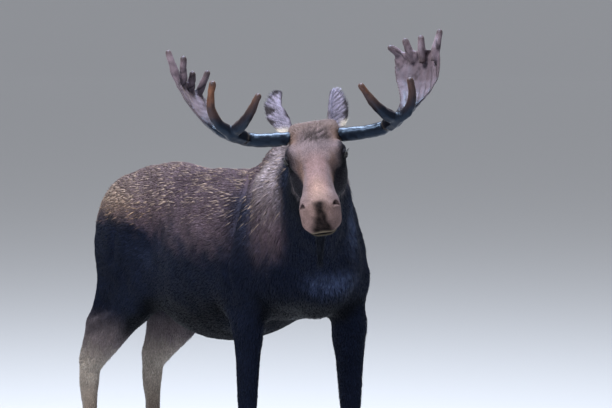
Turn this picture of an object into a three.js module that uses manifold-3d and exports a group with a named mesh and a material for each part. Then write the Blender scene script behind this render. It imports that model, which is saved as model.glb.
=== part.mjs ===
// A bull moose standing at rest with its head turned to its right, life size.
// Millimetres, +Z up. The body points along -Y and its left side is +X.
// Head, neck, trunk and legs are swept from smooth grown forms and parted with thin
// cuts. The antlers are in velvet, so their tines are thick and blunt.
import * as THREE from "three";
import { mergeVertices } from "three/addons/utils/BufferGeometryUtils.js";
import Module from "manifold-3d";

const wasm = await Module();
wasm.setup();

// ---------------------------------------------------------------- driving sizes
const PART_GAP = 0.3; // clearance of every cut between neighbours
const WITHERS_UP = 1800; // top of the shoulder hump
const CROUP_UP = 1632; // top of the hips
const BELLY_UP = 912; // lowest line of the belly
const BRISKET_UP = 1036; // underside of the chest between the forelegs
const CORONET_UP = 78; // where the hair ends and the hooves begin
const FORE_CUT_UP = 1085; // where a foreleg is parted from the trunk
const HIND_CUT_UP = 1105; // where a hind leg is parted from the trunk
const CHEST_HALF = 262; // half the width over the shoulders
const BARREL_HALF = 272; // half the width over the ribs
const FORE_TRACK = 162; // from the middle to a fore hoof
const HIND_TRACK = 150; // from the middle to a hind hoof
const HEAD_LENGTH = 606; // poll to the tip of the nose
const EYE_RADIUS = 19.5;
const EAR_LENGTH = 192;
const HEAD_TURN = 39; // degrees to the animal's right
const HEAD_DROP = 24; // degrees, nose below level
const HEAD_TILT = 8; // degrees, right side lower

const SMALLEST = 0.05; // edges shorter than this are folded into their neighbours
const CUTTER = PART_GAP * 1.5; // how much larger a cutter is than the part it stands for

// Facets round each form.
const SIDES = { body: 24, leg: 11, ear: 6, tine: 6, palm: 10, claw: 8, small: 6 };

const { sin, cos, abs, min, max, sqrt, PI, hypot } = Math;
const rad = THREE.MathUtils.degToRad;
const lerp = THREE.MathUtils.lerp;
const smoothstep = THREE.MathUtils.smoothstep;

// A point or direction in the animal's own terms.
const at = (forward, left, up) => new THREE.Vector3(left, -forward, up);
const LEFT = at(0, 1, 0);
const BACK = at(-1, 0, 0);
const DOWN = at(0, 0, -1);

// ---------------------------------------------------------------- rounded forms
// Each form is a function of x, y, z: negative inside, about the distance outside.

// An egg with three radii, pitched nose-up about the side-to-side axis.
function egg(centre, forward, left, up, pitch = 0) {
  const c = cos(rad(pitch));
  const s = sin(rad(pitch));
  return (x, y, z) => {
    const f = centre.y - y;
    const l = (x - centre.x) / left;
    const u = z - centre.z;
    const a = (f * c + u * s) / forward;
    const b = (u * c - f * s) / up;
    const k = hypot(a, l, b);
    const g = hypot(a / forward, l / left, b / up);
    return g < 1e-9 ? -min(forward, left, up) : (k * (k - 1)) / g;
  };
}

// A limb that tapers from one radius to another; squash below 1 makes it narrow
// along its side direction.
function limb(from, to, r0, r1, squash = 1, side = LEFT) {
  const d = new THREE.Vector3().subVectors(to, from);
  const length2 = d.lengthSq();
  return (x, y, z) => {
    const px = x - from.x;
    const py = y - from.y;
    const pz = z - from.z;
    const h = min(1, max(0, (px * d.x + py * d.y + pz * d.z) / length2));
    const vx = px - h * d.x;
    const vy = py - h * d.y;
    const vz = pz - h * d.z;
    const l = vx * side.x + vy * side.y + vz * side.z;
    return sqrt(vx * vx + vy * vy + vz * vz + l * l * (1 / squash ** 2 - 1)) - lerp(r0, r1, h);
  };
}

// Several forms grown into one another; blend is the reach of the fillet between them.
function grown(blend, forms) {
  return (x, y, z) => {
    let d = forms[0](x, y, z);
    for (let i = 1; i < forms.length; i++) {
      const e = forms[i](x, y, z);
      const h = max(blend - abs(d - e), 0) / blend;
      d = min(d, e) - (h * h * blend) / 4;
    }
    return d;
  };
}

// A form built in another frame, moved by that frame's matrix.
function placed(form, matrix) {
  const m = matrix.clone().invert().elements;
  return (x, y, z) =>
    form(
      m[0] * x + m[4] * y + m[8] * z + m[12],
      m[1] * x + m[5] * y + m[9] * z + m[13],
      m[2] * x + m[6] * y + m[10] * z + m[14],
    );
}

// Each form and its twin on the other side.
const bothSides = (make) => [make(1), make(-1)];

// ---------------------------------------------------------------- meshes
// Joins rings of points, and a pole at either end, into one closed surface.
function loft(rings, startPole, endPole) {
  const n = rings[0].length;
  const points = rings.flat().concat(startPole, endPole);
  const start = points.length - 2;
  const end = points.length - 1;
  const index = [];
  for (let r = 0; r + 1 < rings.length; r++) {
    for (let i = 0; i < n; i++) {
      const j = (i + 1) % n;
      const a = r * n + i;
      const b = r * n + j;
      index.push(a, b, b + n, a, b + n, a + n);
    }
  }
  const last = (rings.length - 1) * n;
  for (let i = 0; i < n; i++) {
    const j = (i + 1) % n;
    index.push(start, j, i, end, last + i, last + j);
  }
  const geometry = new THREE.BufferGeometry().setFromPoints(points);
  geometry.setIndex(index);
  return geometry;
}

// How far a ray from inside a form goes before it leaves it.
function reach(form, from, way, level) {
  const step = 10;
  const value = (r) => form(from.x + way.x * r, from.y + way.y * r, from.z + way.z * r) - level;
  let far = step;
  while (value(far) < 0) far += step;
  let near = far - step;
  for (let k = 0; k < 18; k++) {
    const middle = (near + far) / 2;
    if (value(middle) < 0) near = middle;
    else far = middle;
  }
  return (near + far) / 2;
}

// The direction of one ray of a ring; lift leans it out of the ring's plane.
const rayOf = (frame, turn, lift) =>
  new THREE.Vector3()
    .addScaledVector(frame.side, cos(turn) * cos(lift) * frame.wide)
    .addScaledVector(frame.over, sin(turn) * cos(lift) * frame.tall)
    .addScaledVector(frame.along, sin(lift) * max(frame.wide, frame.tall))
    .normalize();

// One ring of points where a form's surface meets the fan of rays from a centre.
function fan(form, frame, sides, lift = 0, level = 0) {
  return Array.from({ length: sides }, (_, i) => {
    const way = rayOf(frame, (2 * PI * i) / sides, lift);
    return frame.centre.clone().addScaledVector(way, reach(form, frame.centre, way, level));
  });
}

// The centre, direction and cross axes of a ring on a spine.
function frameOn(centre, along, side) {
  const across = side.clone().addScaledVector(along, -side.dot(along)).normalize();
  const over = new THREE.Vector3().crossVectors(along, across);
  return { centre, along, side: across, over, wide: 1, tall: 1 };
}

// Moves a ring's centre to the middle of the form there and fits its proportions.
function centred(form, frame) {
  for (let pass = 0; pass < 2; pass++) {
    const [left, top, right, bottom] = fan(form, { ...frame, wide: 1, tall: 1 }, 4);
    frame.wide = left.distanceTo(right);
    frame.tall = top.distanceTo(bottom);
    const middle = left.lerp(right, 0.5).add(top.lerp(bottom, 0.5)).sub(frame.centre);
    frame.centre = middle;
  }
  return frame;
}

// Sweeps a form from ring to ring. Each end is either flat, cut square through the
// form, or round, closed by a few leaning rings and a pole.
function sweep(form, frames, sides, { roundStart = 0, roundEnd = 0, level = 0 } = {}) {
  const first = frames[0];
  const last = frames.at(-1);
  const leans = (count) => Array.from({ length: count }, (_, k) => ((k + 1) / (count + 1)) * (PI / 2));
  const pole = (frame, way) =>
    frame.centre.clone().addScaledVector(way, reach(form, frame.centre, way, level));
  const rings = [
    ...leans(roundStart).reverse().map((lean) => fan(form, first, sides, -lean, level)),
    ...frames.map((frame) => fan(form, frame, sides, 0, level)),
    ...leans(roundEnd).map((lean) => fan(form, last, sides, lean, level)),
  ];
  const startPole = roundStart ? pole(first, first.along.clone().negate()) : first.centre;
  const endPole = roundEnd ? pole(last, last.along) : last.centre;
  return solid(loft(rings, startPole, endPole));
}

// Ring frames evenly set between two knots of a spine.
function framesAlong(form, points, from, to, rings, sideAt) {
  const spine = new THREE.CatmullRomCurve3(points);
  return Array.from({ length: rings }, (_, k) => {
    const knot = lerp(from, to, k / (rings - 1));
    const t = knot / (points.length - 1);
    return centred(form, frameOn(spine.getPoint(t), spine.getTangent(t), sideAt(knot)));
  });
}

// A tapering round rod along a smooth line, with a narrow root and a domed tip.
function rod(line, radii, rings) {
  const curve = new THREE.CatmullRomCurve3(line);
  const ref = abs(curve.getTangent(0.5).z) > 0.8 ? BACK : DOWN;
  const radiusAt = (t) => {
    const scaled = t * (radii.length - 1);
    const i = min(radii.length - 2, Math.floor(scaled));
    return lerp(radii[i], radii[i + 1], scaled - i);
  };
  const ringAt = (t, shrink, shift) => {
    const along = curve.getTangent(t);
    const frame = frameOn(curve.getPoint(t).addScaledVector(along, shift), along, ref);
    return Array.from({ length: SIDES.tine }, (_, i) => {
      const turn = (2 * PI * i) / SIDES.tine;
      return frame.centre
        .clone()
        .addScaledVector(frame.side, cos(turn) * radiusAt(t) * shrink)
        .addScaledVector(frame.over, sin(turn) * radiusAt(t) * shrink);
    });
  };
  const tip = radii.at(-1);
  const rows = Array.from({ length: rings }, (_, k) => ringAt(k / (rings - 1), k ? 1 : 0.5, 0));
  rows.push(ringAt(1, 0.7, tip * 0.6));
  const nose = curve.getPoint(1).addScaledVector(curve.getTangent(1), tip * 0.9);
  return solid(loft(rows, curve.getPoint(0), nose));
}

// A geometry as a solid that can be cut and joined, with its faces turned outwards.
function solid(geometry) {
  const bare = new THREE.BufferGeometry();
  bare.setAttribute("position", geometry.getAttribute("position").clone());
  bare.setIndex(geometry.index);
  const merged = mergeVertices(bare, 1e-3);
  const vertProperties = merged.attributes.position.array;
  const triVerts = new Uint32Array(merged.index.array);
  const body = () => new wasm.Manifold(new wasm.Mesh({ numProp: 3, vertProperties, triVerts }));
  if (body().volume() < 0) triVerts.reverse();
  return body();
}

function geometryOf(body) {
  const mesh = body.simplify(SMALLEST).getMesh();
  const corners = Float32Array.from(mesh.vertProperties);
  const geometry = new THREE.BufferGeometry();
  geometry.setAttribute("position", new THREE.BufferAttribute(corners, 3));
  geometry.setIndex(new THREE.BufferAttribute(Uint32Array.from(mesh.triVerts), 1));
  return geometry;
}

// The largest piece of a cut body; slivers that a cut leaves beyond a bulge are dropped.
const largest = (body) => body.decompose().reduce((a, b) => (a.volume() > b.volume() ? a : b));
const joined = (bodies) => bodies.reduce((a, b) => a.add(b));
const without = (body, cutters) => largest(cutters.reduce((a, b) => a.subtract(b), body));

// ---------------------------------------------------------------- materials
const paint = (color, roughness) => new THREE.MeshStandardMaterial({ color, roughness, metalness: 0 });
const materials = {
  coat: paint("#2b221e", 0.85),
  face: paint("#5d4437", 0.8),
  ear: paint("#5a5055", 0.85),
  leg: paint("#5b524b", 0.85),
  velvet: paint("#3d2e2a", 0.8),
  hoof: paint("#1c1917", 0.5),
  eye: paint("#120c09", 0.08),
};

// The group stands on the floor with its origin under the middle of its box.
const moose = new THREE.Group();
moose.name = "moose";

function addNode(name, body, material) {
  const mesh = new THREE.Mesh(geometryOf(body), material);
  mesh.name = name;
  moose.add(mesh);
}

// ---------------------------------------------------------------- the tops of the legs
// These forms are shared by the trunk and the leg that is parted from it. In the trunk
// they fade below the cut, so that no sliver of it is left outside the leg.
const faded = (cut, forms) => forms.map((form) => (x, y, z) => form(x, y, z) + 0.6 * max(0, cut - z));

const thighForms = (s) => [
  egg(at(-672, s * 122, 1245), 212, 100, 312, 14),
  limb(at(-808, s * 84, 1330), at(-828, s * 112, 1085), 82, 72, 0.95), // hamstring
  egg(at(-525, s * 160, 1100), 104, 58, 150, -20), // stifle
];
const upperArmForms = (s, elbow) => [
  egg(at(elbow + 10, s * (CHEST_HALF - 92), 1195), 108, 68, 178, 14),
  egg(at(elbow - 28, s * 180, 1082), 62, 46, 72), // point of the elbow
];

const limbs = {
  leg_front_left: { s: 1, fore: true, elbow: 414, foot: 470, arm: 80 },
  leg_front_right: { s: -1, fore: true, elbow: 222, foot: 198, arm: 69 },
  leg_hind_left: { s: 1, fore: false, foot: -888 },
  leg_hind_right: { s: -1, fore: false, foot: -930 },
};

// ---------------------------------------------------------------- the trunk's form
function trunkForms() {
  return [
    egg(at(10, 0, 1300), 520, BARREL_HALF, 314), // rib cage
    egg(at(-160, 0, BELLY_UP + 262), 430, BARREL_HALF - 22, 262), // belly
    limb(at(-430, 0, CROUP_UP - 178), at(120, 0, CROUP_UP - 182), 166, 170), // loin
    egg(at(-592, 0, CROUP_UP - 212), 296, 190, 204, 10), // croup
    limb(at(-826, 0, 1376), at(-620, 0, 1340), 74, 150), // tail root
    egg(at(345, 0, WITHERS_UP - 300), 290, 108, 294, -8), // hump
    limb(at(440, 0, WITHERS_UP - 190), at(590, -80, WITHERS_UP - 235), 104, 96), // crest
    egg(at(440, 0, BRISKET_UP + 246), 205, 158, 228), // brisket
    egg(at(560, -30, 1300), 108, 108, 165), // breast point
    ...bothSides((s) => limb(at(318, s * 108, 1580), at(410, s * 152, 1240), 84, 104, 0.9)), // shoulder blade
    ...bothSides((s) => egg(at(486, s * 114, 1262), 82, 90, 110)), // point of the shoulder
    ...bothSides((s) => egg(at(470, s * 94, 1400), 78, 82, 150)), // root of the neck
    ...Object.values(limbs).flatMap(({ s, fore, elbow }) =>
      fore ? faded(FORE_CUT_UP, upperArmForms(s, elbow)) : faded(HIND_CUT_UP, thighForms(s)),
    ),
  ];
}

// ---------------------------------------------------------------- the head's frame
const POLL = at(905, -364, 1912); // top of the head, just behind the antlers
const headFrame = new THREE.Matrix4()
  .makeTranslation(POLL.x, POLL.y, POLL.z)
  .multiply(new THREE.Matrix4().makeRotationZ(rad(-HEAD_TURN)))
  .multiply(new THREE.Matrix4().makeRotationY(rad(-HEAD_TILT)))
  .multiply(new THREE.Matrix4().makeRotationX(rad(HEAD_DROP)));
const inHead = (forward, left, up) => at(forward, left, up).applyMatrix4(headFrame);
const headLeft = LEFT.clone().transformDirection(headFrame);

// ---------------------------------------------------------------- the neck's form
const neckLeft = at(0.5, 0.87, 0).normalize();

function neckForms() {
  return [
    limb(at(430, 0, 1430), inHead(40, 0, -146), 198, 98, 0.74, neckLeft), // neck
    limb(at(430, 0, WITHERS_UP - 150), inHead(-10, 0, -128), 92, 60, 0.85, neckLeft), // mane line
    limb(at(530, -60, 1320), inHead(90, 0, -205), 150, 70, 0.75, neckLeft), // throat
  ];
}

// ---------------------------------------------------------------- the head's form
// Built along its own axis, nose forward, with the top of the poll at its origin.
const NOSE = HEAD_LENGTH;
const eyeAt = (s) => at(236, s * 102, -64);

function headForms() {
  return [
    egg(at(85, 0, -98), 128, 96, 88), // skull
    limb(at(84, 60, -47), at(84, -60, -47), 38, 38), // ridge between the antlers
    limb(at(110, 0, -56), at(240, 0, -66), 56, 52, 1.5), // forehead
    ...bothSides((s) => egg(at(226, s * 86, -58), 58, 37, 38)), // brow over the eye
    ...bothSides((s) => egg(at(176, s * 62, -158), 122, 48, 96, 12)), // cheek
    limb(at(150, 0, -220), at(NOSE - 170, 0, -194), 46, 30, 1.1), // lower jaw
    limb(at(240, 0, -96), at(NOSE - 180, 0, -104), 72, 58, 0.86), // bridge of the nose
    limb(at(250, 0, -148), at(NOSE - 160, 0, -146), 76, 58, 0.84), // side of the face
    egg(at(NOSE - 122, 0, -108), 118, 60, 64, -6), // muzzle
    egg(at(NOSE - 60, 0, -152), 60, 54, 62), // overhanging lip
    ...bothSides((s) => egg(at(NOSE - 92, s * 34, -156), 82, 33, 62, -6)), // side of the lip
    ...bothSides((s) => egg(at(NOSE - 72, s * 43, -106), 50, 26, 36)), // nostril
    egg(at(NOSE - 140, 0, -214), 66, 38, 27, 6), // chin
  ];
}

const headForm = placed(grown(36, headForms()), headFrame);
const bodyForm = grown(95, [grown(75, trunkForms()), ...neckForms()]);

// ---------------------------------------------------------------- legs
function foreLeg({ s, elbow, foot, arm }) {
  const knee = at(lerp(elbow, foot, 0.55) + 14, s * 170, 575);
  const fetlock = at(foot - 34, s * (FORE_TRACK + 2), 196);
  const coronet = at(foot, s * FORE_TRACK, CORONET_UP);
  const forms = [
    ...upperArmForms(s, elbow),
    limb(at(elbow + 16, s * 178, 1150), at(elbow + 20, s * 178, 1000), 84, arm, 0.74),
    limb(at(elbow + 20, s * 178, 1010), knee, arm, 41, 0.72), // forearm
    egg(knee.clone(), 48, 42, 62),
    limb(knee, fetlock, 38, 33, 0.86), // cannon
    egg(fetlock.clone().add(at(-6, 0, 4)), 47, 38, 44),
    limb(fetlock, coronet, 36, 44, 1), // pastern
  ];
  const line = [at(elbow + 40, s * 178, FORE_CUT_UP), at(elbow + 20, s * 180, 990), knee, fetlock, coronet];
  return { forms, line };
}

function hindLeg({ s, foot }) {
  const hock = at(foot - 14, s * 148, 700);
  const fetlock = at(foot - 22, s * HIND_TRACK, 200);
  const coronet = at(foot + 14, s * HIND_TRACK, CORONET_UP);
  const stifle = at(foot + 335, s * 160, 1030);
  const heel = at(foot - 64, s * 147, 766);
  const forms = [
    ...thighForms(s),
    limb(stifle, hock.clone().add(at(26, 0, 56)), 92, 46, 0.66), // gaskin
    limb(at(-820, s * 118, 1120), at(foot + 92, s * 142, 930), 70, 70, 0.85), // ham
    limb(at(foot + 60, s * 140, 940), at(foot - 20, s * 147, 800), 70, 38, 0.6),
    limb(at(foot + 20, s * 142, 930), heel, 46, 22, 0.75), // tendon
    limb(heel, at(foot - 46, s * 148, 640), 24, 32, 0.8), // point of the hock
    egg(hock.clone(), 50, 37, 74),
    limb(at(foot - 18, s * 148, 650), fetlock, 42, 34, 0.8), // cannon
    egg(fetlock.clone().add(at(-6, 0, 4)), 47, 38, 44),
    limb(fetlock, coronet, 36, 44, 1), // pastern
  ];
  const line = [
    at(foot + 215, s * 140, HIND_CUT_UP),
    at(foot + 170, s * 145, 990),
    at(foot + 60, s * 146, 850),
    hock,
    fetlock,
    coronet,
  ];
  return { forms, line };
}

// Each leg is swept in level rings from its cut down to the coronet. Its top stands
// out of its own forms by what the trunk's fillets add to them.
const LEG_PROUD = 6;

function legSweep(spec, rings, level) {
  const { forms, line } = spec.fore ? foreLeg(spec) : hindLeg(spec);
  const form = grown(30, forms);
  const top = line[0].z;
  const frames = Array.from({ length: rings }, (_, k) => {
    const up = lerp(top, CORONET_UP, (k / (rings - 1)) ** 0.95);
    const i = min(line.length - 2, max(0, line.findIndex((p) => p.z <= up) - 1));
    const share = (line[i].z - up) / (line[i].z - line[i + 1].z);
    return centred(form, frameOn(line[i].clone().lerp(line[i + 1], share).setZ(up), DOWN, BACK));
  });
  frames[0].centre.z += level;
  frames.at(-1).centre.z += PART_GAP;
  const proud = (x, y, z) => form(x, y, z) - LEG_PROUD * smoothstep(z, 900, top);
  return sweep(proud, frames, SIDES.leg, { level });
}

// ---------------------------------------------------------------- sweeping trunk, neck and head
const bodyLine = [
  at(-690, 0, 1320),
  at(-350, 0, 1300),
  at(0, 0, 1300),
  at(290, 0, 1330),
  at(480, -20, 1410),
  at(660, -150, 1530),
  inHead(50, 0, -125),
];
const NECK_CUT = 4.15; // where the trunk ends, counted along the spine's points
const bodySide = (knot) => LEFT.clone().lerp(headLeft, smoothstep(knot, 3.2, 5.6)).normalize();
const moveIn = (frame, distance) => frame.centre.addScaledVector(frame.along, distance);

const trunkFrames = framesAlong(bodyForm, bodyLine, 0, NECK_CUT, 18, bodySide);
moveIn(trunkFrames.at(-1), -PART_GAP / 2);
const legs = Object.entries(limbs).map(([name, spec]) => ({ name, spec, rings: spec.fore ? 18 : 21 }));
const trunkSweep = (level) => sweep(bodyForm, trunkFrames, SIDES.body, { roundStart: 5, level });
const legCutters = legs.map(({ spec, rings }) => legSweep(spec, rings, CUTTER));
const trunk = without(trunkSweep(0), legCutters);

const neckFrames = framesAlong(bodyForm, bodyLine, NECK_CUT, bodyLine.length - 1, 8, bodySide);
moveIn(neckFrames[0], PART_GAP / 2);
const neckSweep = (level) => sweep(bodyForm, neckFrames, SIDES.body, { level });

const headLine = [
  inHead(60, 0, -105),
  inHead(200, 0, -118),
  inHead(380, 0, -128),
  inHead(NOSE - 100, 0, -135),
];
const headFrames = framesAlong(headForm, headLine, 0, headLine.length - 1, 18, () => headLeft);
const headSweep = (level) => sweep(headForm, headFrames, SIDES.body, { roundStart: 4, roundEnd: 4, level });
const wholeHead = headSweep(0);
const headAndGap = headSweep(CUTTER);
const neck = without(neckSweep(0), [headAndGap]);
const neckAndGap = neckSweep(CUTTER);

// ---------------------------------------------------------------- eyes
const eyeBall = (s, radius) => {
  const place = eyeAt(s).applyMatrix4(headFrame);
  return solid(new THREE.SphereGeometry(radius, 10, 7).translate(place.x, place.y, place.z));
};
const head = without(wholeHead, bothSides((s) => eyeBall(s, EYE_RADIUS + PART_GAP)));

// ---------------------------------------------------------------- the crown's frame
// Ears and antlers stand level on the crown, turned and tilted with the head.
const CROWN = inHead(100, 4, -42); // between the antler roots
const crownFrame = new THREE.Matrix4()
  .makeTranslation(CROWN.x, CROWN.y, CROWN.z)
  .multiply(new THREE.Matrix4().makeRotationZ(rad(-HEAD_TURN)))
  .multiply(new THREE.Matrix4().makeRotationY(rad(-HEAD_TILT)));
const onCrown = (body) => solid(geometryOf(body).applyMatrix4(crownFrame));

// ---------------------------------------------------------------- ears
// A scoop: each ring is a crescent, its back rounded and its front hollow.
const ears = {
  left: { s: 1, root: 85, bow: 8, lean: 7, long: EAR_LENGTH - 22, flare: 20 },
  right: { s: -1, root: 100, bow: 35, lean: 17, long: EAR_LENGTH, flare: 27 },
};

function ear({ s, root, bow, lean, long, flare }) {
  const axis = new THREE.CatmullRomCurve3([
    at(-62, s * (root - 8), -14),
    at(-70, s * (root + bow * 0.7), 0.28 * long),
    at(-76, s * (root + bow + lean * 0.5), 0.6 * long),
    at(-84, s * (root + lean), long - 14),
  ]);
  const open = at(0.9, s * 0.42, 0.1).normalize(); // the way the hollow faces
  const n = SIDES.ear;
  const rings = [0, 0.14, 0.32, 0.52, 0.72, 0.88, 0.96, 1].map((t) => {
    const half = 21 + flare * sin(PI * min(1, t * 1.2) ** 0.8) - 15 * t ** 12;
    const wall = 10 - 4 * t;
    const hollow = 20 * smoothstep(t, 0.06, 0.4) * (1 - 0.6 * t);
    const frame = frameOn(axis.getPoint(t), axis.getTangent(t), open);
    const put = (across, depth) =>
      frame.centre.clone().addScaledVector(frame.over, across).addScaledVector(frame.side, depth);
    const turns = Array.from({ length: n + 1 }, (_, i) => (PI * i) / n);
    return [
      ...turns.map((a) => put(cos(a) * half, -sin(a) * (hollow + wall))),
      ...turns
        .slice(1, -1)
        .reverse()
        .map((a) => put(cos(a) * half * 0.86, wall * 0.4 - sin(a) * (hollow - 2))),
    ];
  });
  const middle = (ring) => ring[(n + 1) >> 1].clone().lerp(ring[n + (n >> 1)], 0.5);
  return solid(loft(rings, middle(rings[0]), middle(rings.at(-1))));
}

// ---------------------------------------------------------------- antlers
const onSide = (s, [out, ahead, up]) => at(ahead, s * out, up);

// Laid out on the crown in millimetres out to the side, ahead and up. Each has a beam
// that runs on as the palm's outer edge, a palm that spreads from that edge, and a
// brow branch with two tines.
const antlers = {
  left: {
    s: 1,
    edge: [
      [60, 0, -12], [140, 4, -14], [215, 12, -13], [290, 20, 2],
      [374, 20, 56], [446, 4, 112], [484, -20, 168], [494, -42, 252],
    ],
    spread: { out: -0.72, ahead: -0.68, up: 0.02, width: 218, from: 0.4, fall: 0 },
    crown: [[0, 512, -58, 314], [0.36, 440, -104, 298], [0.68, 380, -142, 294], [1, 322, -180, 276]],
    front: [[432, 4, 124], [474, 38, 168], [487, 48, 236]],
    brow: {
      stem: [[262, 14, -8], [292, 62, 14], [312, 84, 26]],
      inner: [[312, 84, 24], [272, 108, 50], [230, 132, 106], [200, 146, 164]],
      outer: [[300, 80, 20], [352, 102, 44], [380, 116, 96], [381, 126, 158]],
    },
  },
  right: {
    s: -1,
    edge: [
      [60, 0, 0], [140, 2, 2], [205, 8, 8], [268, 14, 24], [330, 14, 50],
      [392, 4, 102], [438, -16, 168], [474, -38, 246], [492, -52, 304],
    ],
    spread: { out: -0.5, ahead: -0.84, up: -0.1, width: 150, from: 0.42, fall: 84 },
    crown: [[0, 503, -62, 376], [0.34, 452, -84, 345], [0.66, 430, -118, 282], [1, 378, -160, 276]],
    front: [[438, -8, 196], [464, 30, 254], [468, 36, 330]],
    brow: {
      stem: [[244, 12, 16], [280, 60, 40], [306, 84, 54]],
      inner: [[300, 84, 52], [256, 110, 84], [214, 132, 130], [182, 146, 178]],
      outer: [[288, 78, 46], [340, 106, 90], [362, 122, 160], [343, 130, 246]],
    },
  },
};

// Grow above nothing thickens the palm, to make the cutter that parts the brow from it.
function palmBlade({ s, edge, spread }, grow) {
  const outer = new THREE.CatmullRomCurve3(edge.map((p) => onSide(s, p)));
  const across = onSide(s, [spread.out, spread.ahead, spread.up]);
  const widen = (t) => spread.width * smoothstep(t, spread.from, 0.9);
  const innerAt = (t) =>
    outer
      .getPoint(t)
      .addScaledVector(across, widen(t))
      .addScaledVector(DOWN, spread.fall * smoothstep(t, 0.7, 1));
  const rings = Array.from({ length: 12 }, (_, k) => {
    const t = k / 11;
    const from = outer.getPoint(t);
    const to = innerAt(t);
    const frame = frameOn(from.clone().lerp(to, 0.5), outer.getTangent(t), across.clone().normalize());
    const reachOut = from.clone().sub(to).multiplyScalar(widen(t) > 2 ? 0.5 : 0);
    const cup = 0.16 * widen(t);
    const half = lerp(25, 11, smoothstep(t, 0.3, 0.72)) - 3 * smoothstep(t, 0.9, 1) + grow;
    return Array.from({ length: SIDES.palm }, (_, i) => {
      const turn = (2 * PI * i) / SIDES.palm;
      return frame.centre
        .clone()
        .addScaledVector(reachOut, -cos(turn))
        .addScaledVector(frame.side, cos(turn) * half)
        .addScaledVector(frame.over, sin(turn) * half - s * cup * sin(turn) ** 2);
    });
  });
  const middle = (ring) => ring[0].clone().lerp(ring[SIDES.palm / 2], 0.5);
  const blade = solid(loft(rings, middle(rings[0]), middle(rings.at(-1))));
  return { blade, rimAt: (share) => outer.getPoint(1).lerp(innerAt(1), share) };
}

// The palm with the tines of its rim and the one on its front. Each rim tine rises from
// its share of the way along the rim.
function palmAndTines(spec, grow = 0) {
  const { blade, rimAt } = palmBlade(spec, grow);
  const thick = (radii) => radii.map((r) => r + grow);
  const rimTines = spec.crown.map(([share, ...tip]) => {
    const root = rimAt(lerp(0.03, 0.97, share));
    const to = onSide(spec.s, tip);
    const from = root.clone().addScaledVector(to.clone().sub(root).normalize(), -44);
    return rod([from, root.lerp(to, 0.3), to], thick([20, 15, 10]), 4);
  });
  const front = rod(spec.front.map((p) => onSide(spec.s, p)), thick([18, 18, 10.5]), 5);
  return joined([blade, ...rimTines, front]);
}

// The branch over the brow: a stem that forks into two tines.
function browBranch({ s, brow }) {
  const line = (points) => points.map((p) => onSide(s, p));
  return joined([
    rod(line(brow.stem), [29, 30, 26], 4),
    rod(line(brow.inner), [27, 22, 17, 10.5], 7),
    rod(line(brow.outer), [27, 21, 16, 10.5], 7),
  ]);
}

// ---------------------------------------------------------------- hooves
// Each foot has two long pointed claws, and two small dew claws behind the pastern.
function claw(foot, side, inner) {
  const rows = [
    { up: 0, long: 1.0, wide: 1.0, shift: 16 },
    { up: 14, long: 0.99, wide: 1.0, shift: 12 },
    { up: CORONET_UP * 0.6, long: 0.82, wide: 0.9, shift: 3 },
    { up: CORONET_UP, long: 0.66, wide: 0.78, shift: -8 },
  ];
  const rings = rows.map(({ up, long, wide, shift }) =>
    Array.from({ length: SIDES.claw }, (_, i) => {
      const turn = (2 * PI * i) / SIDES.claw;
      const f = cos(turn);
      const point = f > 0 ? 1 - 0.55 * f ** 2 : 1 - 0.18 * f ** 2;
      const across = inner * 27.5 + sin(turn) * 27 * wide * point - inner * 4 * f;
      return at(foot + shift + f * 64 * long, side + across, up);
    }),
  );
  const middle = (ring) => ring.reduce((a, b) => a.clone().add(b)).divideScalar(ring.length);
  return solid(loft(rings, middle(rings[0]), middle(rings.at(-1))));
}

function dewClaw(foot, side, inner) {
  const top = at(foot - 60, side + inner * 22, 152);
  const tip = at(foot - 72, side + inner * 26, 118);
  const frames = [0, 1].map((t) => frameOn(top.clone().lerp(tip, t), DOWN, BACK));
  return sweep(limb(top, tip, 17, 10, 0.85), frames, SIDES.small, { roundEnd: 1 });
}

// ---------------------------------------------------------------- tail and bell
const tailForm = limb(at(-880, 0, 1402), at(-922, 0, 1310), 28, 16, 1.15);
const tailFrames = [0, 0.35, 0.7, 1].map((t) =>
  frameOn(at(-862, 0, 1420).lerp(at(-920, 0, 1312), t), at(-0.45, 0, -1).normalize(), LEFT),
);

// The bell is the flap of skin and hair that hangs from the throat.
const bellTop = inHead(215, 0, -225);
const bellForm = grown(24, [
  limb(bellTop, bellTop.clone().add(at(-14, 6, -130)), 46, 32, 0.5, headLeft),
  limb(bellTop.clone().add(at(-14, 6, -130)), bellTop.clone().add(at(-22, 9, -250)), 32, 15, 0.6, headLeft),
]);
const bellFrames = Array.from({ length: 7 }, (_, k) =>
  frameOn(bellTop.clone().add(at(-22, 9, -250).multiplyScalar(k / 6)), DOWN, headLeft),
);

// ---------------------------------------------------------------- assembly
const bell = sweep(bellForm, bellFrames, SIDES.small, { roundEnd: 2 });
const tail = sweep(tailForm, tailFrames, SIDES.small, { roundEnd: 2 });

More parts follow.
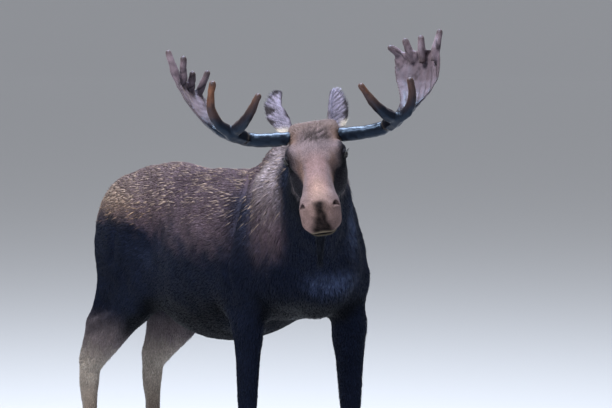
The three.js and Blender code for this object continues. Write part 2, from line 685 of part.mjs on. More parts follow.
addNode("trunk", trunk, materials.coat);
addNode("neck", neck, materials.coat);
addNode("head", head, materials.face);
addNode("bell", without(bell, [headAndGap, neckAndGap]), materials.coat);
addNode("tail", without(tail, [trunkSweep(CUTTER)]), materials.coat);
for (const [name, spec] of Object.entries(ears)) {
  addNode(`eye_${name}`, eyeBall(spec.s, EYE_RADIUS), materials.eye);
  addNode(`ear_${name}`, without(onCrown(ear(spec)), [headAndGap, neckAndGap]), materials.ear);
}
for (const [name, spec] of Object.entries(antlers)) {
  const palm = without(onCrown(palmAndTines(spec)), [headAndGap]);
  const brow = without(onCrown(browBranch(spec)), [onCrown(palmAndTines(spec, CUTTER))]);
  addNode(`antler_${name}_palm`, palm, materials.velvet);
  addNode(`antler_${name}_brow`, brow, materials.velvet);
}
legs.forEach(({ name, spec, rings }, i) => {
  const foot = spec.foot + (spec.fore ? 0 : 14);
  const side = spec.s * (spec.fore ? FORE_TRACK : HIND_TRACK);
  addNode(name, legSweep(spec, rings, 0), materials.leg);
  for (const [which, inner] of [["inner", -spec.s], ["outer", spec.s]]) {
    const dew = without(dewClaw(foot, side, inner), [legCutters[i]]);
    addNode(`${name.replace("leg", "claw")}_${which}`, claw(foot, side, inner), materials.hoof);
    addNode(`${name.replace("leg", "dewclaw")}_${which}`, dew, materials.hoof);
  }
});

const box = new THREE.Box3().setFromObject(moose);
const middle = box.getCenter(new THREE.Vector3());
moose.position.set(-middle.x, -middle.y, -box.min.z);

export default moose;
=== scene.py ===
"""A bull moose at life size: smooth skin with a modelled head, short coat in tufts,
antlers in velvet, eyes with lids and lashes, hooves, floor, light and camera."""

import math

import bpy
import numpy as np
from mathutils import Matrix, Vector


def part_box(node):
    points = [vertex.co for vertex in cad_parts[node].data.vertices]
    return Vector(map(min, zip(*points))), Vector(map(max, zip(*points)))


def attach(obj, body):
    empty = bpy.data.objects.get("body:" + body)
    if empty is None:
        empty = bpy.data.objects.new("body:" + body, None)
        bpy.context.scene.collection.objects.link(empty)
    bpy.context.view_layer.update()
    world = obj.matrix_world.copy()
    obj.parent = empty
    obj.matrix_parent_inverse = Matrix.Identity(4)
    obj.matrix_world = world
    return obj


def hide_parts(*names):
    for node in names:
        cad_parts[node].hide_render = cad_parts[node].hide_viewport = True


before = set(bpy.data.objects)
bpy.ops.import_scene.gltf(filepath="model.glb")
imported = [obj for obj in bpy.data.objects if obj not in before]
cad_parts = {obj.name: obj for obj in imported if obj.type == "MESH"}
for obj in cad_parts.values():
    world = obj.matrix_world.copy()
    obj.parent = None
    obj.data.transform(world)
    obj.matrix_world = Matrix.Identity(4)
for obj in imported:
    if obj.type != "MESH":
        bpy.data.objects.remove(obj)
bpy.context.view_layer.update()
random = np.random.default_rng(7)

# ------------------------------------------------------------------ sizes, in millimetres
# Places are forward, left and up: the poll's in the body's terms, the others' in the head's.
HEAD_TURN = 39
HEAD_TILT = 8
HEAD_DROP = 24
POLL = (905, -364, 1912)
EYE_NODE = (236, 102, -64)
EYE = (236, 98.5, -65)
EYE_RADIUS = 19.5
CROWN = (100, 4, -42)
NOSTRIL = (554, 51, -91)
MOUTH = ([380, 440, 520, 580, 620], [-186, -194, -197, -191, -188])  # forward and up
EAR_TALL = 178
LEG_OUT = 155  # from the middle to the line of a leg
VOXEL = {"body": 14, "head": 5.2, "ear": 2.5, "antler": 2.8, "hoof": 3.4}
TUFTS_IN_A_PIECE = 30000
LASHES = 34
# The line of each leg, forward and up, from its top to the hair's end.
LEGS = {
    "front_left": [(440, 1085), (434, 990), (456, 575), (436, 196), (470, 78)],
    "front_right": [(248, 1085), (242, 990), (223, 575), (164, 196), (198, 78)],
    "hind_left": [(-673, 1105), (-828, 850), (-902, 700), (-910, 200), (-874, 78)],
    "hind_right": [(-715, 1105), (-870, 850), (-944, 700), (-952, 200), (-916, 78)],
}
LEG_NODES = ["leg_" + leg for leg in LEGS]
SKIN_NODES = ["trunk", "neck", "head", "bell", "tail", "ear_left", "ear_right"] + LEG_NODES


def side_of(name):
    return 1 if name.endswith("left") else -1


# ------------------------------------------------------------------ frames of body and head
def turn(axis, degrees):
    return np.array(Matrix.Rotation(math.radians(degrees), 3, axis))


BODY_AXES = np.eye(3)
HEAD_AXES = turn("Z", -HEAD_TURN) @ turn("Y", -HEAD_TILT) @ turn("X", HEAD_DROP)
CROWN_AXES = turn("Z", -HEAD_TURN) @ turn("Y", -HEAD_TILT)


def own(forward, left, up):
    return np.array([left, -forward, up], float)


def middle_of(node):
    low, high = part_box(node)
    return np.array((low + high) / 2) * 1000


# Where the body's own zero lies in the frame, found from the eye's place.
ZERO = middle_of("eye_left") - own(*POLL) - HEAD_AXES @ own(*EYE_NODE)
POLL_AT = own(*POLL) + ZERO
CROWN_AT = POLL_AT + HEAD_AXES @ own(*CROWN)


def terms(points, zero, axes):
    """Forward, left and up of points in metres, in millimetres from a zero."""
    p = (points * 1000 - zero) @ axes
    return -p[:, 1], p[:, 0], p[:, 2]


def body_terms(points):
    return terms(points, ZERO, BODY_AXES)


def head_terms(points):
    return terms(points, POLL_AT, HEAD_AXES)


def crown_terms(points):
    return terms(points, CROWN_AT, CROWN_AXES)


def at_head(forward, left, up):
    return (POLL_AT + HEAD_AXES @ own(forward, left, up)) / 1000


def at_body(forward, left, up):
    return (own(forward, left, up) + ZERO) / 1000


def towards(axes, forward, left, up):
    """Directions given in a frame's own terms, as unit vectors."""
    way = np.stack(np.broadcast_arrays(left, -np.asarray(forward), up), -1) @ axes.T
    return way / np.maximum(np.linalg.norm(way, axis=-1, keepdims=True), 1e-9)


def ramp(low, high, value):
    """0 before low and 1 past high, smooth between; low may be the greater."""
    t = np.clip((value - low) / (high - low), 0, 1)
    return t * t * (3 - 2 * t)


def bump(value, centre, width):
    return np.exp(-(((value - centre) / width) ** 2))


def blend(a, b, share):
    share = np.asarray(share)
    if np.ndim(share) and np.ndim(a) > np.ndim(share):
        share = share[..., None]
    return a + (b - a) * share


def layered(points, base, *layers):
    """A base at each point with others laid over it in turn, each with its share."""
    base = base + 0 * points
    for other, share in layers:
        base = blend(base, other, share)
    return base


def between(a, b, share):
    share = share[:, None]
    return np.array(a) * (1 - share) + np.array(b) * share


def spot_at(found, centre, reach):
    """1 at a place of the head on both sides, falling to 0 within its reach."""
    f, l, u = found
    across = bump(np.abs(l), centre[1], reach[1])
    return bump(f, centre[0], reach[0]) * across * bump(u, centre[2], reach[2])


def away_from(place, found):
    """How far points are from a place of the head, on either side."""
    f, l, u = found
    return np.hypot(np.hypot(f - place[0], np.abs(l) - place[1]), u - place[2])


def waves(points, scale, seed):
    """Smooth noise from -1 to 1 over points; scale is its grain in metres, one or three."""
    made = np.random.default_rng(seed)
    total = 0
    for _ in range(7):
        way = made.normal(size=3)
        way /= np.linalg.norm(way) * np.asarray(scale)
        total = total + np.sin(points @ way * made.uniform(2.2, 4.5) + made.uniform(0, 6.28))
    return np.clip(total / 3.2, -1, 1)


# ------------------------------------------------------------------ where each region is
def line_at(line, u):
    """How far forward a line of forward and up runs at each height."""
    ahead, ups = np.array(line[::-1], float).T
    return np.interp(u, ups, ahead)


def leg_share(f, l, u):
    """How much a point belongs to a leg, from 0 to 1, and whether that leg is a hind one."""
    best = np.zeros(len(f))
    hind = np.zeros(len(f))
    for name, line in LEGS.items():
        near = np.hypot((f - line_at(line, u)) * 0.8, l - side_of(name) * LEG_OUT)
        share = ramp(190, 110, near) * ramp(1090, 930, u)
        hind = np.where(share > best, float("hind" in name), hind)
        best = np.maximum(best, share)
    return best, hind


def ear_share(points):
    """How much a point belongs to an ear, and on which side that ear is."""
    f, l, u = crown_terms(points)
    share = ramp(2, 16, u) * ramp(-28, -44, f) * ramp(50, 62, np.abs(l))
    return share, np.where(l > 0, 1.0, -1.0)


def ear_spine(name):
    """Levels up an ear, its middle line and its half width there, in the crown's terms."""
    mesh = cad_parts["ear_" + name].data
    points = np.array([v.co for v in mesh.vertices], float)
    _, l, u = crown_terms(points)
    levels = np.linspace(u.min(), u.max(), 24)
    middle = [np.average(l, weights=bump(u, level, 14) + 1e-6) for level in levels]
    off = np.abs(l - np.interp(u, levels, middle))
    half = [off[np.abs(u - level) < 16].max() for level in levels]
    return levels, np.array(middle), np.array(half)


EAR_SPINE = {1: ear_spine("left"), -1: ear_spine("right")}
# How much wider than its solid each ear is made, from its root to its tip.
EAR_LEVELS = [0, 0.2, 0.4, 0.65, 0.85, 0.96, 1]
EAR_WIDER = {
    1: [-0.12, -0.08, 0.04, 0.20, 0.36, 0.5, 0.5],
    -1: [-0.38, -0.34, -0.14, 0.12, 0.36, 0.5, 0.5],
}


def ear_place(l, u, side):
    """Off an ear's middle line, its half width there, and how much wider it is made."""
    levels, middle, half = EAR_SPINE[side]
    tall = (u - levels[0]) / (levels[-1] - levels[0])
    wider = np.interp(tall, EAR_LEVELS, EAR_WIDER[side])
    return l - np.interp(u, levels, middle), np.interp(u, levels, half), wider


def across_ear(l, u, side):
    """Where a point lies across the ear, from -1 at its inner rim to 1 at its outer."""
    off, half, wider = ear_place(l, u, side)
    return side * off / np.maximum(half * (1 + wider), 4)


EAR_OPEN = {s: towards(CROWN_AXES, 0.9, s * 0.42, 0.1) for s in (1, -1)}


def ear_facing(normals, side):
    """How much a surface faces the way its ear opens."""
    return (normals * np.where(side[:, None] > 0, EAR_OPEN[1], EAR_OPEN[-1])).sum(1)


def head_share(points):
    """How much a point belongs to the head, from 0 to 1."""
    f, l, u = head_terms(points)
    return ramp(10, 90, f + 0.15 * u) * ramp(320, 260, np.abs(l))


def bell_share(points):
    """How much a point belongs to the bell, from 0 to 1."""
    f, l, u = body_terms(points)
    top = at_head(215, 0, -225) * 1000 - ZERO
    return ramp(top[2] - 6, top[2] - 40, u) * ramp(80, 55, np.hypot(f + top[1] + 10, l - top[0] - 4))


# ------------------------------------------------------------------ the coat's colours
def paint(r, g, b):
    """A colour as mixed on screen, in the renderer's linear terms."""
    c = np.array([r, g, b], float) / 255
    return np.where(c < 0.04045, c / 12.92, ((c + 0.055) / 1.055) ** 2.4)


INK = paint(8, 10, 16)
BLACK = paint(19, 24, 40)
UMBER = paint(50, 40, 38)
BROWN = paint(82, 69, 78)
FAWN = paint(120, 104, 106)
TAN = paint(188, 166, 150)
GOLD = paint(170, 134, 100)
SMOKE = paint(160, 150, 157)
BROW = paint(115, 100, 103)
BRIDGE = paint(131, 107, 107)
SNOUT = paint(139, 117, 115)
CHEEK = paint(38, 36, 43)
EAR_BACK = paint(88, 84, 92)
EAR_HAIR = paint(180, 176, 202)
SHANK = paint(162, 153, 144)
PASTERN = paint(122, 106, 94)
# painted highlight along the edge of the upper lip
LIP_HIGHLIGHT = paint(168, 154, 132)
LOWER_LIP = paint(92, 84, 62)
STRAW = paint(158, 134, 114)
# painted sky reflection on dark hair that faces up
SKY_REFLECTION_PAINT = paint(42, 48, 66)
GASKIN = paint(114, 104, 106)
# painted blue sky reflection on the front of the chest, for the ground and the tips
PAINTED_SHEEN = paint(60, 70, 98)
PAINTED_SHEEN_TIP = paint(70, 82, 112)
# painted highlight on the bridge of the nose
NOSE_HIGHLIGHT = paint(200, 166, 148)
CROWN_BROWN = paint(120, 104, 102)
TEMPLE = paint(128, 98, 78)
UNDER_EYE = paint(92, 81, 84)
RUSSET = paint(134, 105, 90)
SOOT = paint(14, 12, 14)
# painted shade round each nostril, and darker in its hole
NOSTRIL_SHADE = paint(74, 64, 70)
NOSTRIL_HOLE_SHADE = paint(34, 29, 32)
CHIN = paint(38, 35, 37)
LID_DARK = paint(14, 14, 19)
EAR_ROOT = paint(232, 226, 220)
BELL = paint(17, 19, 26)
BELL_TIP = paint(36, 40, 50)
BEAM = paint(12, 15, 24)
TINE = paint(62, 45, 38)
PALM = paint(96, 84, 92)
TIP = paint(126, 82, 54)
RIDGE = paint(38, 30, 30)
SLENDER = paint(64, 50, 46)
EYEBALL = np.array([0.010, 0.008, 0.007])
IRIS = np.array([0.016, 0.008, 0.004])
PUPIL = np.array([0.002, 0.002, 0.002])


def mouth_line(f, l):
    """How high the parting of the lips lies; it arches up in front."""
    return np.interp(f, MOUTH[0], MOUTH[1]) + 9 * bump(l, 0, 34) * ramp(530, 570, f)


# Outlines of the markings: the height at which brown meets black along the trunk, the half
# width and the lower edge of the brown along the face, and the half width of the nose's dark
# patch at each height.
EDGE = (
    [-900, -684, -496, -325, -107, 100, 215, 300, 370, 450, 600, 760],
    [1400, 1402, 1372, 1338, 1322, 1318, 1340, 1330, 1300, 1320, 1400, 1480],
)
FACE_WIDE = ([80, 150, 236, 300, 360, 420, 480, 540, 580], [102, 100, 89, 76, 73, 71, 74, 82, 95])
FACE_LOW = ([150, 250, 350, 420, 500, 560], [-70, -82, -108, -126, -172, -198])
PATCH_HALF = ([-200, -165, -125, -95, -73, -50], [44, 38, 22, 20, 19, 12])


def trunk_colours(points, normals, in_head, grain, fine):
    """Ground and tips: brown above, blue-black below, grey on the hump, black at the throat under a
    painted shadow of the head; painted shade down the shoulder and under the belly, and a painted sky
    reflection on dark hair that faces up.
    """
    f, _, u = body_terms(points)
    _, hl, hu = head_terms(points)
    edge = np.interp(f, *EDGE)
    soft = np.interp(f, [-900, -600, -300, 200, 500], [34, 44, 110, 130, 130])
    above = ramp(-soft * 0.7, soft, u - edge + 26 * grain + 10 * fine) ** 1.25
    # painted shade in a band down the shoulder along the hide's fold, darkening the brown and the grey
    # there
    painted_shoulder_shade = bump(f + 0.35 * (u - 1450), 246, 88) * ramp(1610, 1500, u)
    # the throat is black; under the jaw it is darkened further by a painted shadow of the head
    throat = ramp(-215, -150, hl + 10 * grain) * ramp(-170, -300, hu) * ramp(330, 440, f)
    throat = throat * np.maximum(ramp(1710, 1590, u + 20 * grain), ramp(-90, -120, hl))
    throat = throat * (1 - 0.4 * ramp(160, 240, hl))
    above = above * (1 - 0.92 * painted_shoulder_shade) * (1 - throat)
    rump = ramp(-250, -620, f) * ramp(10, 110, u - edge)
    golden = bump(u - edge, 70, 55) * ramp(-480, -700, f)
    beside = np.where(hl < 0, ramp(215, 170, -hl), ramp(210, 110, hl))
    hump = ramp(180, 330, f) * ramp(1420, 1690, u + 30 * grain) * (1 - 0.8 * painted_shoulder_shade) * (1 - throat)
    ground = layered(
        points,
        BLACK,
        (BROWN, above),
        (FAWN, 0.45 * rump),
        (STRAW, 0.45 * golden),
        # painted shadow of the head over the black throat
        (INK, 0.85 * throat * (1 - in_head) * ramp(-520, -340, hu) * beside),
        (SMOKE, 0.75 * hump),
    )
    tips = blend(ground * 1.15, TAN, 0.16 * above + 0.25 * rump + 0.35 * hump)
    # painted sky reflection: dark hair that faces up is lightened towards steel blue
    painted_sky_gleam = ramp(-0.1, 0.5, normals[:, 2]) * (1 - above) * (1 - hump)
    # painted shade: hair that faces down low on the body is darkened towards ink
    under = ramp(0.0, -0.6, normals[:, 2]) * ramp(1250, 1100, u)
    ground = layered(points, ground, (SKY_REFLECTION_PAINT, 0.6 * painted_sky_gleam), (INK, under))
    return ground, blend(tips, INK, under)


def leg_colours(points, normals, grain):
    """Black above, pale shanks behind and brown ones in front, and the legs' share."""
    f, l, u = body_terms(points)
    leg, hind = leg_share(f, l, u)
    pale = np.where(hind > 0.5, ramp(900, 730, u + 20 * grain), ramp(700, 480, u + 25 * grain))
    back = ramp(0.35, -0.35, -normals[:, 1])
    shank = layered(
        points,
        PASTERN,
        (SHANK, 0.25 + 0.75 * np.maximum(back, ramp(500, 760, u))),
        (PASTERN * 0.7, ramp(190, 100, u)),
    )
    thigh = layered(points, BLACK, (GASKIN, 0.8 * hind * ramp(1040, 860, u)))
    return blend(thigh, shank, pale * np.where(hind > 0.5, 1, 0.62)), leg


def painted_chest_sheen(points, grain, fine):
    """Where a blue sky reflection is painted on the front of the chest."""
    f, l, u = body_terms(points)
    brisket = bump(u, 1238, 46) * bump(l, -62, 110)
    streak = bump(l + 14 * grain, 14, 46) * bump(u, 1455, 95)
    return np.clip(np.maximum(brisket, streak) * ramp(560, 640, f) * (0.8 + 0.5 * fine), 0, 1)


def head_colours(points, grain, fine):
    """A brown face between black cheeks, with the patch on the nose, the nostrils, lips and lids; a
    painted highlight lies on the bridge of the nose and on the edge of the upper lip, and painted shade
    round and in the nostrils and in the parting of the lips.
    """
    found = head_terms(points)
    f, l, u = found
    side = np.abs(l)
    lighter = bump(f, 330, 56) * ramp(-40, -70, l)
    wide = np.interp(f, *FACE_WIDE) + 8 * bump(f, 281, 36) * ramp(40, 70, l) + 13 * lighter
    low = np.interp(f, *FACE_LOW) - 13 * lighter
    top = ramp(wide + 16, wide - 14, side + 6 * fine) * ramp(low - 16, low + 16, u + 6 * fine)
    curl = bump(f, 168, 38) * bump(l, 12, 62) * (0.88 + 0.9 * waves(points, 0.011, 3))
    face = layered(
        points,
        BROW,
        (BRIDGE, ramp(250, 330, f) * ramp(48, 26, side)),
        (SNOUT, ramp(500, 570, f)),
        # painted highlight on the bridge of the nose
        (NOSE_HIGHLIGHT, bump(f, 505, 62) * bump(l, 0, 34) * 0.38),
        (CROWN_BROWN, ramp(170, 120, f)),
        (UMBER * 0.8, np.clip(curl, 0, 0.9)),
        (TEMPLE, 0.5 * (bump(f, 160, 40) * bump(side, 84, 22))),
        (UNDER_EYE, 0.85 * (ramp(240, 280, f) * ramp(460, 400, f) * ramp(46, 62, side + 4 * fine))),
        (RUSSET, (0.5 + 0.3 * grain) * (bump(f, 345, 75) * bump(side + 5 * fine, 60, 13))),
    )
    half = np.interp(u, *PATCH_HALF)
    patch = ramp(half + 15, half - 14, np.abs(l - 2) + 3 * fine) * ramp(556, 578, f + 2 * fine)
    patch = patch * ramp(-54, -70, u + 2 * fine) * ramp(-196, -186, u)
    beyond, out, high = NOSTRIL
    mouth = mouth_line(f, l)
    front = ramp(535, 562, f) * ramp(64, 40, side)
    eye = bump(f, 246, 40) * bump(u, -80, 27) * ramp(79, 92, side)
    return layered(
        points,
        CHEEK,
        (face, top),
        (SOOT, (0.93 + 0.06 * waves(points, 0.008, 4)) * patch),
        # painted shade round each nostril, and darker in its hole
        (NOSTRIL_SHADE, 0.6 * spot_at(found, (beyond - 4, out - 6, high + 6), (28, 19, 20))),
        (NOSTRIL_HOLE_SHADE, np.clip(spot_at(found, (beyond, out + 4, high + 2), (15, 14, 10)), 0, 1)),
        (CHIN, ramp(0, -8, u - mouth) * ramp(380, 440, f)),
        # painted highlight along the edge of the upper lip
        (LIP_HIGHLIGHT, 0.5 * bump(u, mouth + 8, 4.5) * front),
        (LOWER_LIP, 0.6 * bump(u, mouth - 9, 4.5) * front),
        # painted shade in the parting of the lips
        (INK, bump(u, mouth, 3.2) * ramp(500, 540, f)),
        (LID_DARK, np.clip(1.2 * eye, 0, 1)),
    )


def ear_colours(points, normals, fine):
    """Pale hair in the hollow, crossed by fine dark lines, and a whitish root; and the share."""
    share, ear_side = ear_share(points)
    facing = ear_facing(normals, ear_side)
    _, l, u = crown_terms(points)
    across = np.where(ear_side > 0, across_ear(l, u, 1), across_ear(l, u, -1))
    lines = ramp(0.0, 0.6, np.sin(0.42 * u - 9 * across + 0.8 * fine))
    hollow = layered(
        points,
        EAR_HAIR,
        (EAR_BACK * 0.45, 0.6 * lines * ramp(-0.9, 0.1, across)),
        (EAR_BACK * 0.75, ramp(0.6, 0.92, np.abs(across + 0.05))),
        (EAR_BACK * 0.6, ramp(0.86, 0.97, u / EAR_TALL)),
    )
    root = ramp(44, 20, u) * ramp(0.2, 0.6, facing) * ramp(84, 100, np.abs(l))
    return layered(points, EAR_BACK, (hollow, ramp(0.45, 0.85, facing)), (EAR_ROOT, root)), share


def markings(points, normals):
    """The coat's ground colour and its tip colour at each point."""
    grain = waves(points, 0.05, 1)
    fine = waves(points, 0.016, 2)
    in_head = head_share(points)
    ground, tips = trunk_colours(points, normals, in_head, grain, fine)
    legs, leg = leg_colours(points, normals, grain)
    # painted sky reflection on the front of the chest
    painted_sheen = painted_chest_sheen(points, grain, fine)
    head = head_colours(points, grain, fine)
    ears, ear = ear_colours(points, normals, fine)
    bell = bell_share(points)
    ground = layered(
        points, ground, (legs, leg), (PAINTED_SHEEN, painted_sheen), (head, in_head), (ears, ear), (BELL, bell)
    )
    tips = layered(
        points,
        tips,
        (legs * 1.3, leg),
        (PAINTED_SHEEN_TIP, painted_sheen),
        (head * 1.22, in_head),
        (ears * 1.15, ear),
        (BELL_TIP, bell),
    )
    ground = ground * (1 + 0.12 * grain + 0.10 * fine)[:, None]
    return np.clip(ground, 0.002, 1), np.clip(tips, 0.003, 1)


# ------------------------------------------------------------------ mesh helpers
def deselect():
    bpy.ops.object.select_all(action="DESELECT")


def activate(piece):
    deselect()
    piece.select_set(True)
    bpy.context.view_layer.objects.active = piece


def apply_modifier(piece, kind, **settings):
    activate(piece)
    modifier = piece.modifiers.new(kind.title(), kind)
    for key, value in settings.items():
        setattr(modifier, key, value)
    bpy.ops.object.modifier_apply(modifier=modifier.name)


def edit_whole(piece, step, **settings):
    """One step of edit mode on the whole of a mesh."""
    activate(piece)
    bpy.ops.object.mode_set(mode="EDIT")
    bpy.ops.mesh.select_all(action="SELECT")
    step(**settings)
    bpy.ops.object.mode_set(mode="OBJECT")


def added(title, data):
    made = bpy.data.objects.new(title, data)
    bpy.context.scene.collection.objects.link(made)
    return made


def from_faces(title, points, faces):
    mesh = bpy.data.meshes.new(title)
    mesh.from_pydata(points.tolist(), [], faces)
    return added(title, mesh)


def net(rows, around, closed):
    """Faces between rows of points round a ring; a closed net joins its last row to its first."""
    faces = []
    for i in range(rows if closed else rows - 1):
        for k in range(around):
            j, m = (i + 1) % rows, (k + 1) % around
            faces.append((i * around + k, i * around + m, j * around + m, j * around + k))
    return faces


def casting(title, nodes, grow):
    """The solids of these nodes in one new mesh, each fattened a little so that they join."""
    deselect()
    copies = [added(title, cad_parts[name].data.copy()) for name in nodes]
    for copy in copies:
        copy.select_set(True)
    piece = copies[0]
    bpy.context.view_layer.objects.active = piece
    if len(copies) > 1:
        bpy.ops.object.join()
    piece.name = title
    piece.data.materials.clear()
    edit_whole(piece, bpy.ops.mesh.remove_doubles, threshold=0.00002)
    apply_modifier(piece, "DISPLACE", strength=grow * 0.001, mid_level=0)
    return piece


def keep_largest(piece):
    edit_whole(piece, bpy.ops.mesh.separate, type="LOOSE")
    parts = list(bpy.context.selected_objects)
    best = max(parts, key=lambda part: len(part.data.vertices))
    if best != piece:
        piece.data, best.data = best.data, piece.data
    for part in parts:
        if part != piece:
            bpy.data.objects.remove(part)


def remesh(piece, kind):
    apply_modifier(piece, "REMESH", mode="VOXEL", voxel_size=VOXEL[kind] * 0.001)
    if kind != "hoof":
        keep_largest(piece)


def read(items, key, width, kind=np.float32):
    """One field of all the items of a mesh, in rows."""
    got = np.empty(len(items) * width, kind)
    items.foreach_get(key, got)
    return got.reshape(-1, width)


def points_of(piece):
    return read(piece.data.vertices, "co", 3).astype(float)


def normals_of(piece):
    return read(piece.data.vertex_normals, "vector", 3).astype(float)


def edges_of(piece):
    return read(piece.data.edges, "vertices", 2, np.int32)


def put_points(piece, points):
    piece.data.vertices.foreach_set("co", points.astype(np.float32).ravel())
    piece.data.update()


def pushed(points, ways, by):
    """Points moved along ways, each by its own number of millimetres."""
    return points + ways * by[:, None] * 0.001


def relaxed(values, edges, share, steps):
    """Each value drawn towards the mean of its neighbours."""
    count = len(values)
    a, b = edges[:, 0], edges[:, 1]
    degree = np.maximum(np.bincount(a, minlength=count) + np.bincount(b, minlength=count), 1)
    share = np.asarray(share).reshape(-1, 1)
    for _ in range(steps):
        total = np.empty_like(values)
        for k in range(values.shape[1]):
            total[:, k] = np.bincount(a, values[b, k], count) + np.bincount(b, values[a, k], count)
        values = values + share * (total / degree[:, None] - values)
    return values


def settle(piece, share, steps):
    """Smooths the parts of a mesh that have a share in it."""
    put_points(piece, relaxed(points_of(piece), edges_of(piece), 0.5 * share, steps))


def fair(piece, share, steps):
    """Smooths a mesh and gives back the size that smoothing takes from it."""
    points = points_of(piece)
    edges = edges_of(piece)
    calm = relaxed(points, edges, share, steps)
    put_points(piece, calm + relaxed(points - calm, edges, share, steps))


def refine(piece, chosen):
    """Divides the faces whose middles are chosen."""
    activate(piece)
    picked = chosen(read(piece.data.polygons, "center", 3).astype(float))
    bpy.ops.object.mode_set(mode="EDIT")
    bpy.ops.mesh.select_all(action="DESELECT")
    bpy.ops.mesh.select_mode(type="FACE")
    bpy.ops.object.mode_set(mode="OBJECT")
    piece.data.polygons.foreach_set("select", picked)
    bpy.ops.object.mode_set(mode="EDIT")
    bpy.ops.mesh.subdivide(number_cuts=1)
    bpy.ops.object.mode_set(mode="OBJECT")


def cut_at(piece, point, way):
    """Keeps the part of an open mesh that lies on the way's side of a plane."""
    edit_whole(piece, bpy.ops.mesh.bisect, plane_co=point, plane_no=way, clear_inner=True)


def colour_points(piece, colours, name="coat"):
    layer = piece.data.color_attributes.new(name=name, type="FLOAT_COLOR", domain="POINT")
    rgba = np.ones((len(colours), 4), np.float32)
    rgba[:, :3] = colours
    layer.data.foreach_set("color", rgba.ravel())


def smooth_shade(piece):
    piece.data.polygons.foreach_set("use_smooth", np.ones(len(piece.data.polygons), bool))
    piece.data.update()


def finish_piece(piece, finish, replaced=()):
    """Gives a piece its one material and smooth shading, hangs it from the root body, and hides the nodes
    it replaces.
    """
    piece.data.materials.clear()
    piece.data.materials.append(finish)
    smooth_shade(piece)
    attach(piece, "root")
    if replaced:
        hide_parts(*replaced)


# ------------------------------------------------------------------ materials
def material(name, roughness, **sockets):
    made = bpy.data.materials.new(name)
    made.use_nodes = True
    shader = made.node_tree.nodes["Principled BSDF"]
    shader.inputs["Roughness"].default_value = roughness
    for key, value in sockets.items():
        shader.inputs[key.replace("_", " ")].default_value = value
    return made, made.node_tree, shader


def node(tree, kind, **settings):
    made = tree.nodes.new(kind)
    for key, value in settings.items():
        if key in made.inputs:
            made.inputs[key].default_value = value
        else:
            setattr(made, key, value)
    return made


def noise(tree, scale, detail=4.0, stretch=(1, 1, 1)):
    place = node(tree, "ShaderNodeTexCoord")
    mapping = node(tree, "ShaderNodeMapping", Scale=stretch)
    tree.links.new(place.outputs["Object"], mapping.inputs["Vector"])
    made = node(tree, "ShaderNodeTexNoise", Scale=scale, Detail=detail)
    tree.links.new(mapping.outputs["Vector"], made.inputs["Vector"])
    return made.outputs["Fac"]


def ranged(tree, value, low, high, start=0.3, end=0.7):
    """A value between start and end, spread from low to high."""
    made = node(tree, "ShaderNodeMapRange")
    for key, number in (("From Min", start), ("From Max", end), ("To Min", low), ("To Max", high)):
        made.inputs[key].default_value = number
    tree.links.new(value, made.inputs["Value"])
    return made.outputs["Result"]


def shaded_attribute(tree, shader, attribute, value):
    """Base colour from a colour attribute, made lighter and darker by a value."""
    colour = node(tree, "ShaderNodeVertexColor", layer_name=attribute)
    mix = node(tree, "ShaderNodeVectorMath", operation="SCALE")
    tree.links.new(colour.outputs["Color"], mix.inputs[0])
    tree.links.new(value, mix.inputs["Scale"])
    tree.links.new(mix.outputs["Vector"], shader.inputs["Base Color"])


def bumped(tree, shader, value, distance, strength=1.0):
    made = node(tree, "ShaderNodeBump", Strength=strength, Distance=distance)
    tree.links.new(value, made.inputs["Height"])
    tree.links.new(made.outputs["Normal"], shader.inputs["Normal"])


def coat_material():
    made, tree, shader = material(
        "moose_hair",
        0.5,
        Sheen_Weight=0.008,
        Sheen_Roughness=0.4,
        Sheen_Tint=(0.6, 0.75, 1.0, 1),
        Specular_IOR_Level=0.04,
        Specular_Tint=(0.55, 0.75, 1.0, 1),
    )
    shaded_attribute(tree, shader, "coat", ranged(tree, noise(tree, 160), 0.82, 1.18))
    return made


def skin_material():
    made, tree, shader = material("moose_undercoat", 0.72, Specular_IOR_Level=0.05)
    hair = noise(tree, 240, 6, (1.0, 0.35, 0.6))
    shaded_attribute(tree, shader, "coat", ranged(tree, hair, 0.72, 1.18))
    bumped(tree, shader, hair, 0.002, 0.8)
    return made


def velvet_material():
    made, tree, shader = material(
        "antler_velvet",
        0.36,
        Sheen_Weight=0.1,
        Sheen_Roughness=0.35,
        Sheen_Tint=(1.0, 0.78, 0.62, 1),
        Specular_IOR_Level=0.36,
        Specular_Tint=(0.42, 0.64, 1.0, 1),
    )
    plush = noise(tree, 420, 5)
    shaded_attribute(tree, shader, "velvet", ranged(tree, plush, 0.8, 1.2))
    tone = node(tree, "ShaderNodeVertexColor", layer_name="velvet")
    rough = ranged(tree, tone.outputs["Color"], 0.35, 0.62, 0.01, 0.06)
    tree.links.new(rough, shader.inputs["Roughness"])
    bumped(tree, shader, plush, 0.0006, 0.6)
    return made


def horn_material():
    made, tree, shader = material("hoof_horn", 0.56)
    rings = noise(tree, 60, 3, (0.3, 0.3, 4.0))
    ramped = node(tree, "ShaderNodeValToRGB")
    ramped.color_ramp.elements[0].color = (0.008, 0.007, 0.006, 1)
    ramped.color_ramp.elements[1].color = (0.05, 0.04, 0.032, 1)
    tree.links.new(rings, ramped.inputs["Fac"])
    tree.links.new(ramped.outputs["Color"], shader.inputs["Base Color"])
    bumped(tree, shader, rings, 0.001, 0.6)
    return made


def eye_material():
    made, tree, shader = material("eye_wet", 0.03, Specular_IOR_Level=0.45)
    colour = node(tree, "ShaderNodeVertexColor", layer_name="iris")
    tree.links.new(colour.outputs["Color"], shader.inputs["Base Color"])
    return made


def lid_material():
    made, tree, shader = material("eyelid_skin", 0.38, Base_Color=(0.006, 0.006, 0.007, 1))
    bumped(tree, shader, noise(tree, 900, 3), 0.0004, 0.6)
    return made


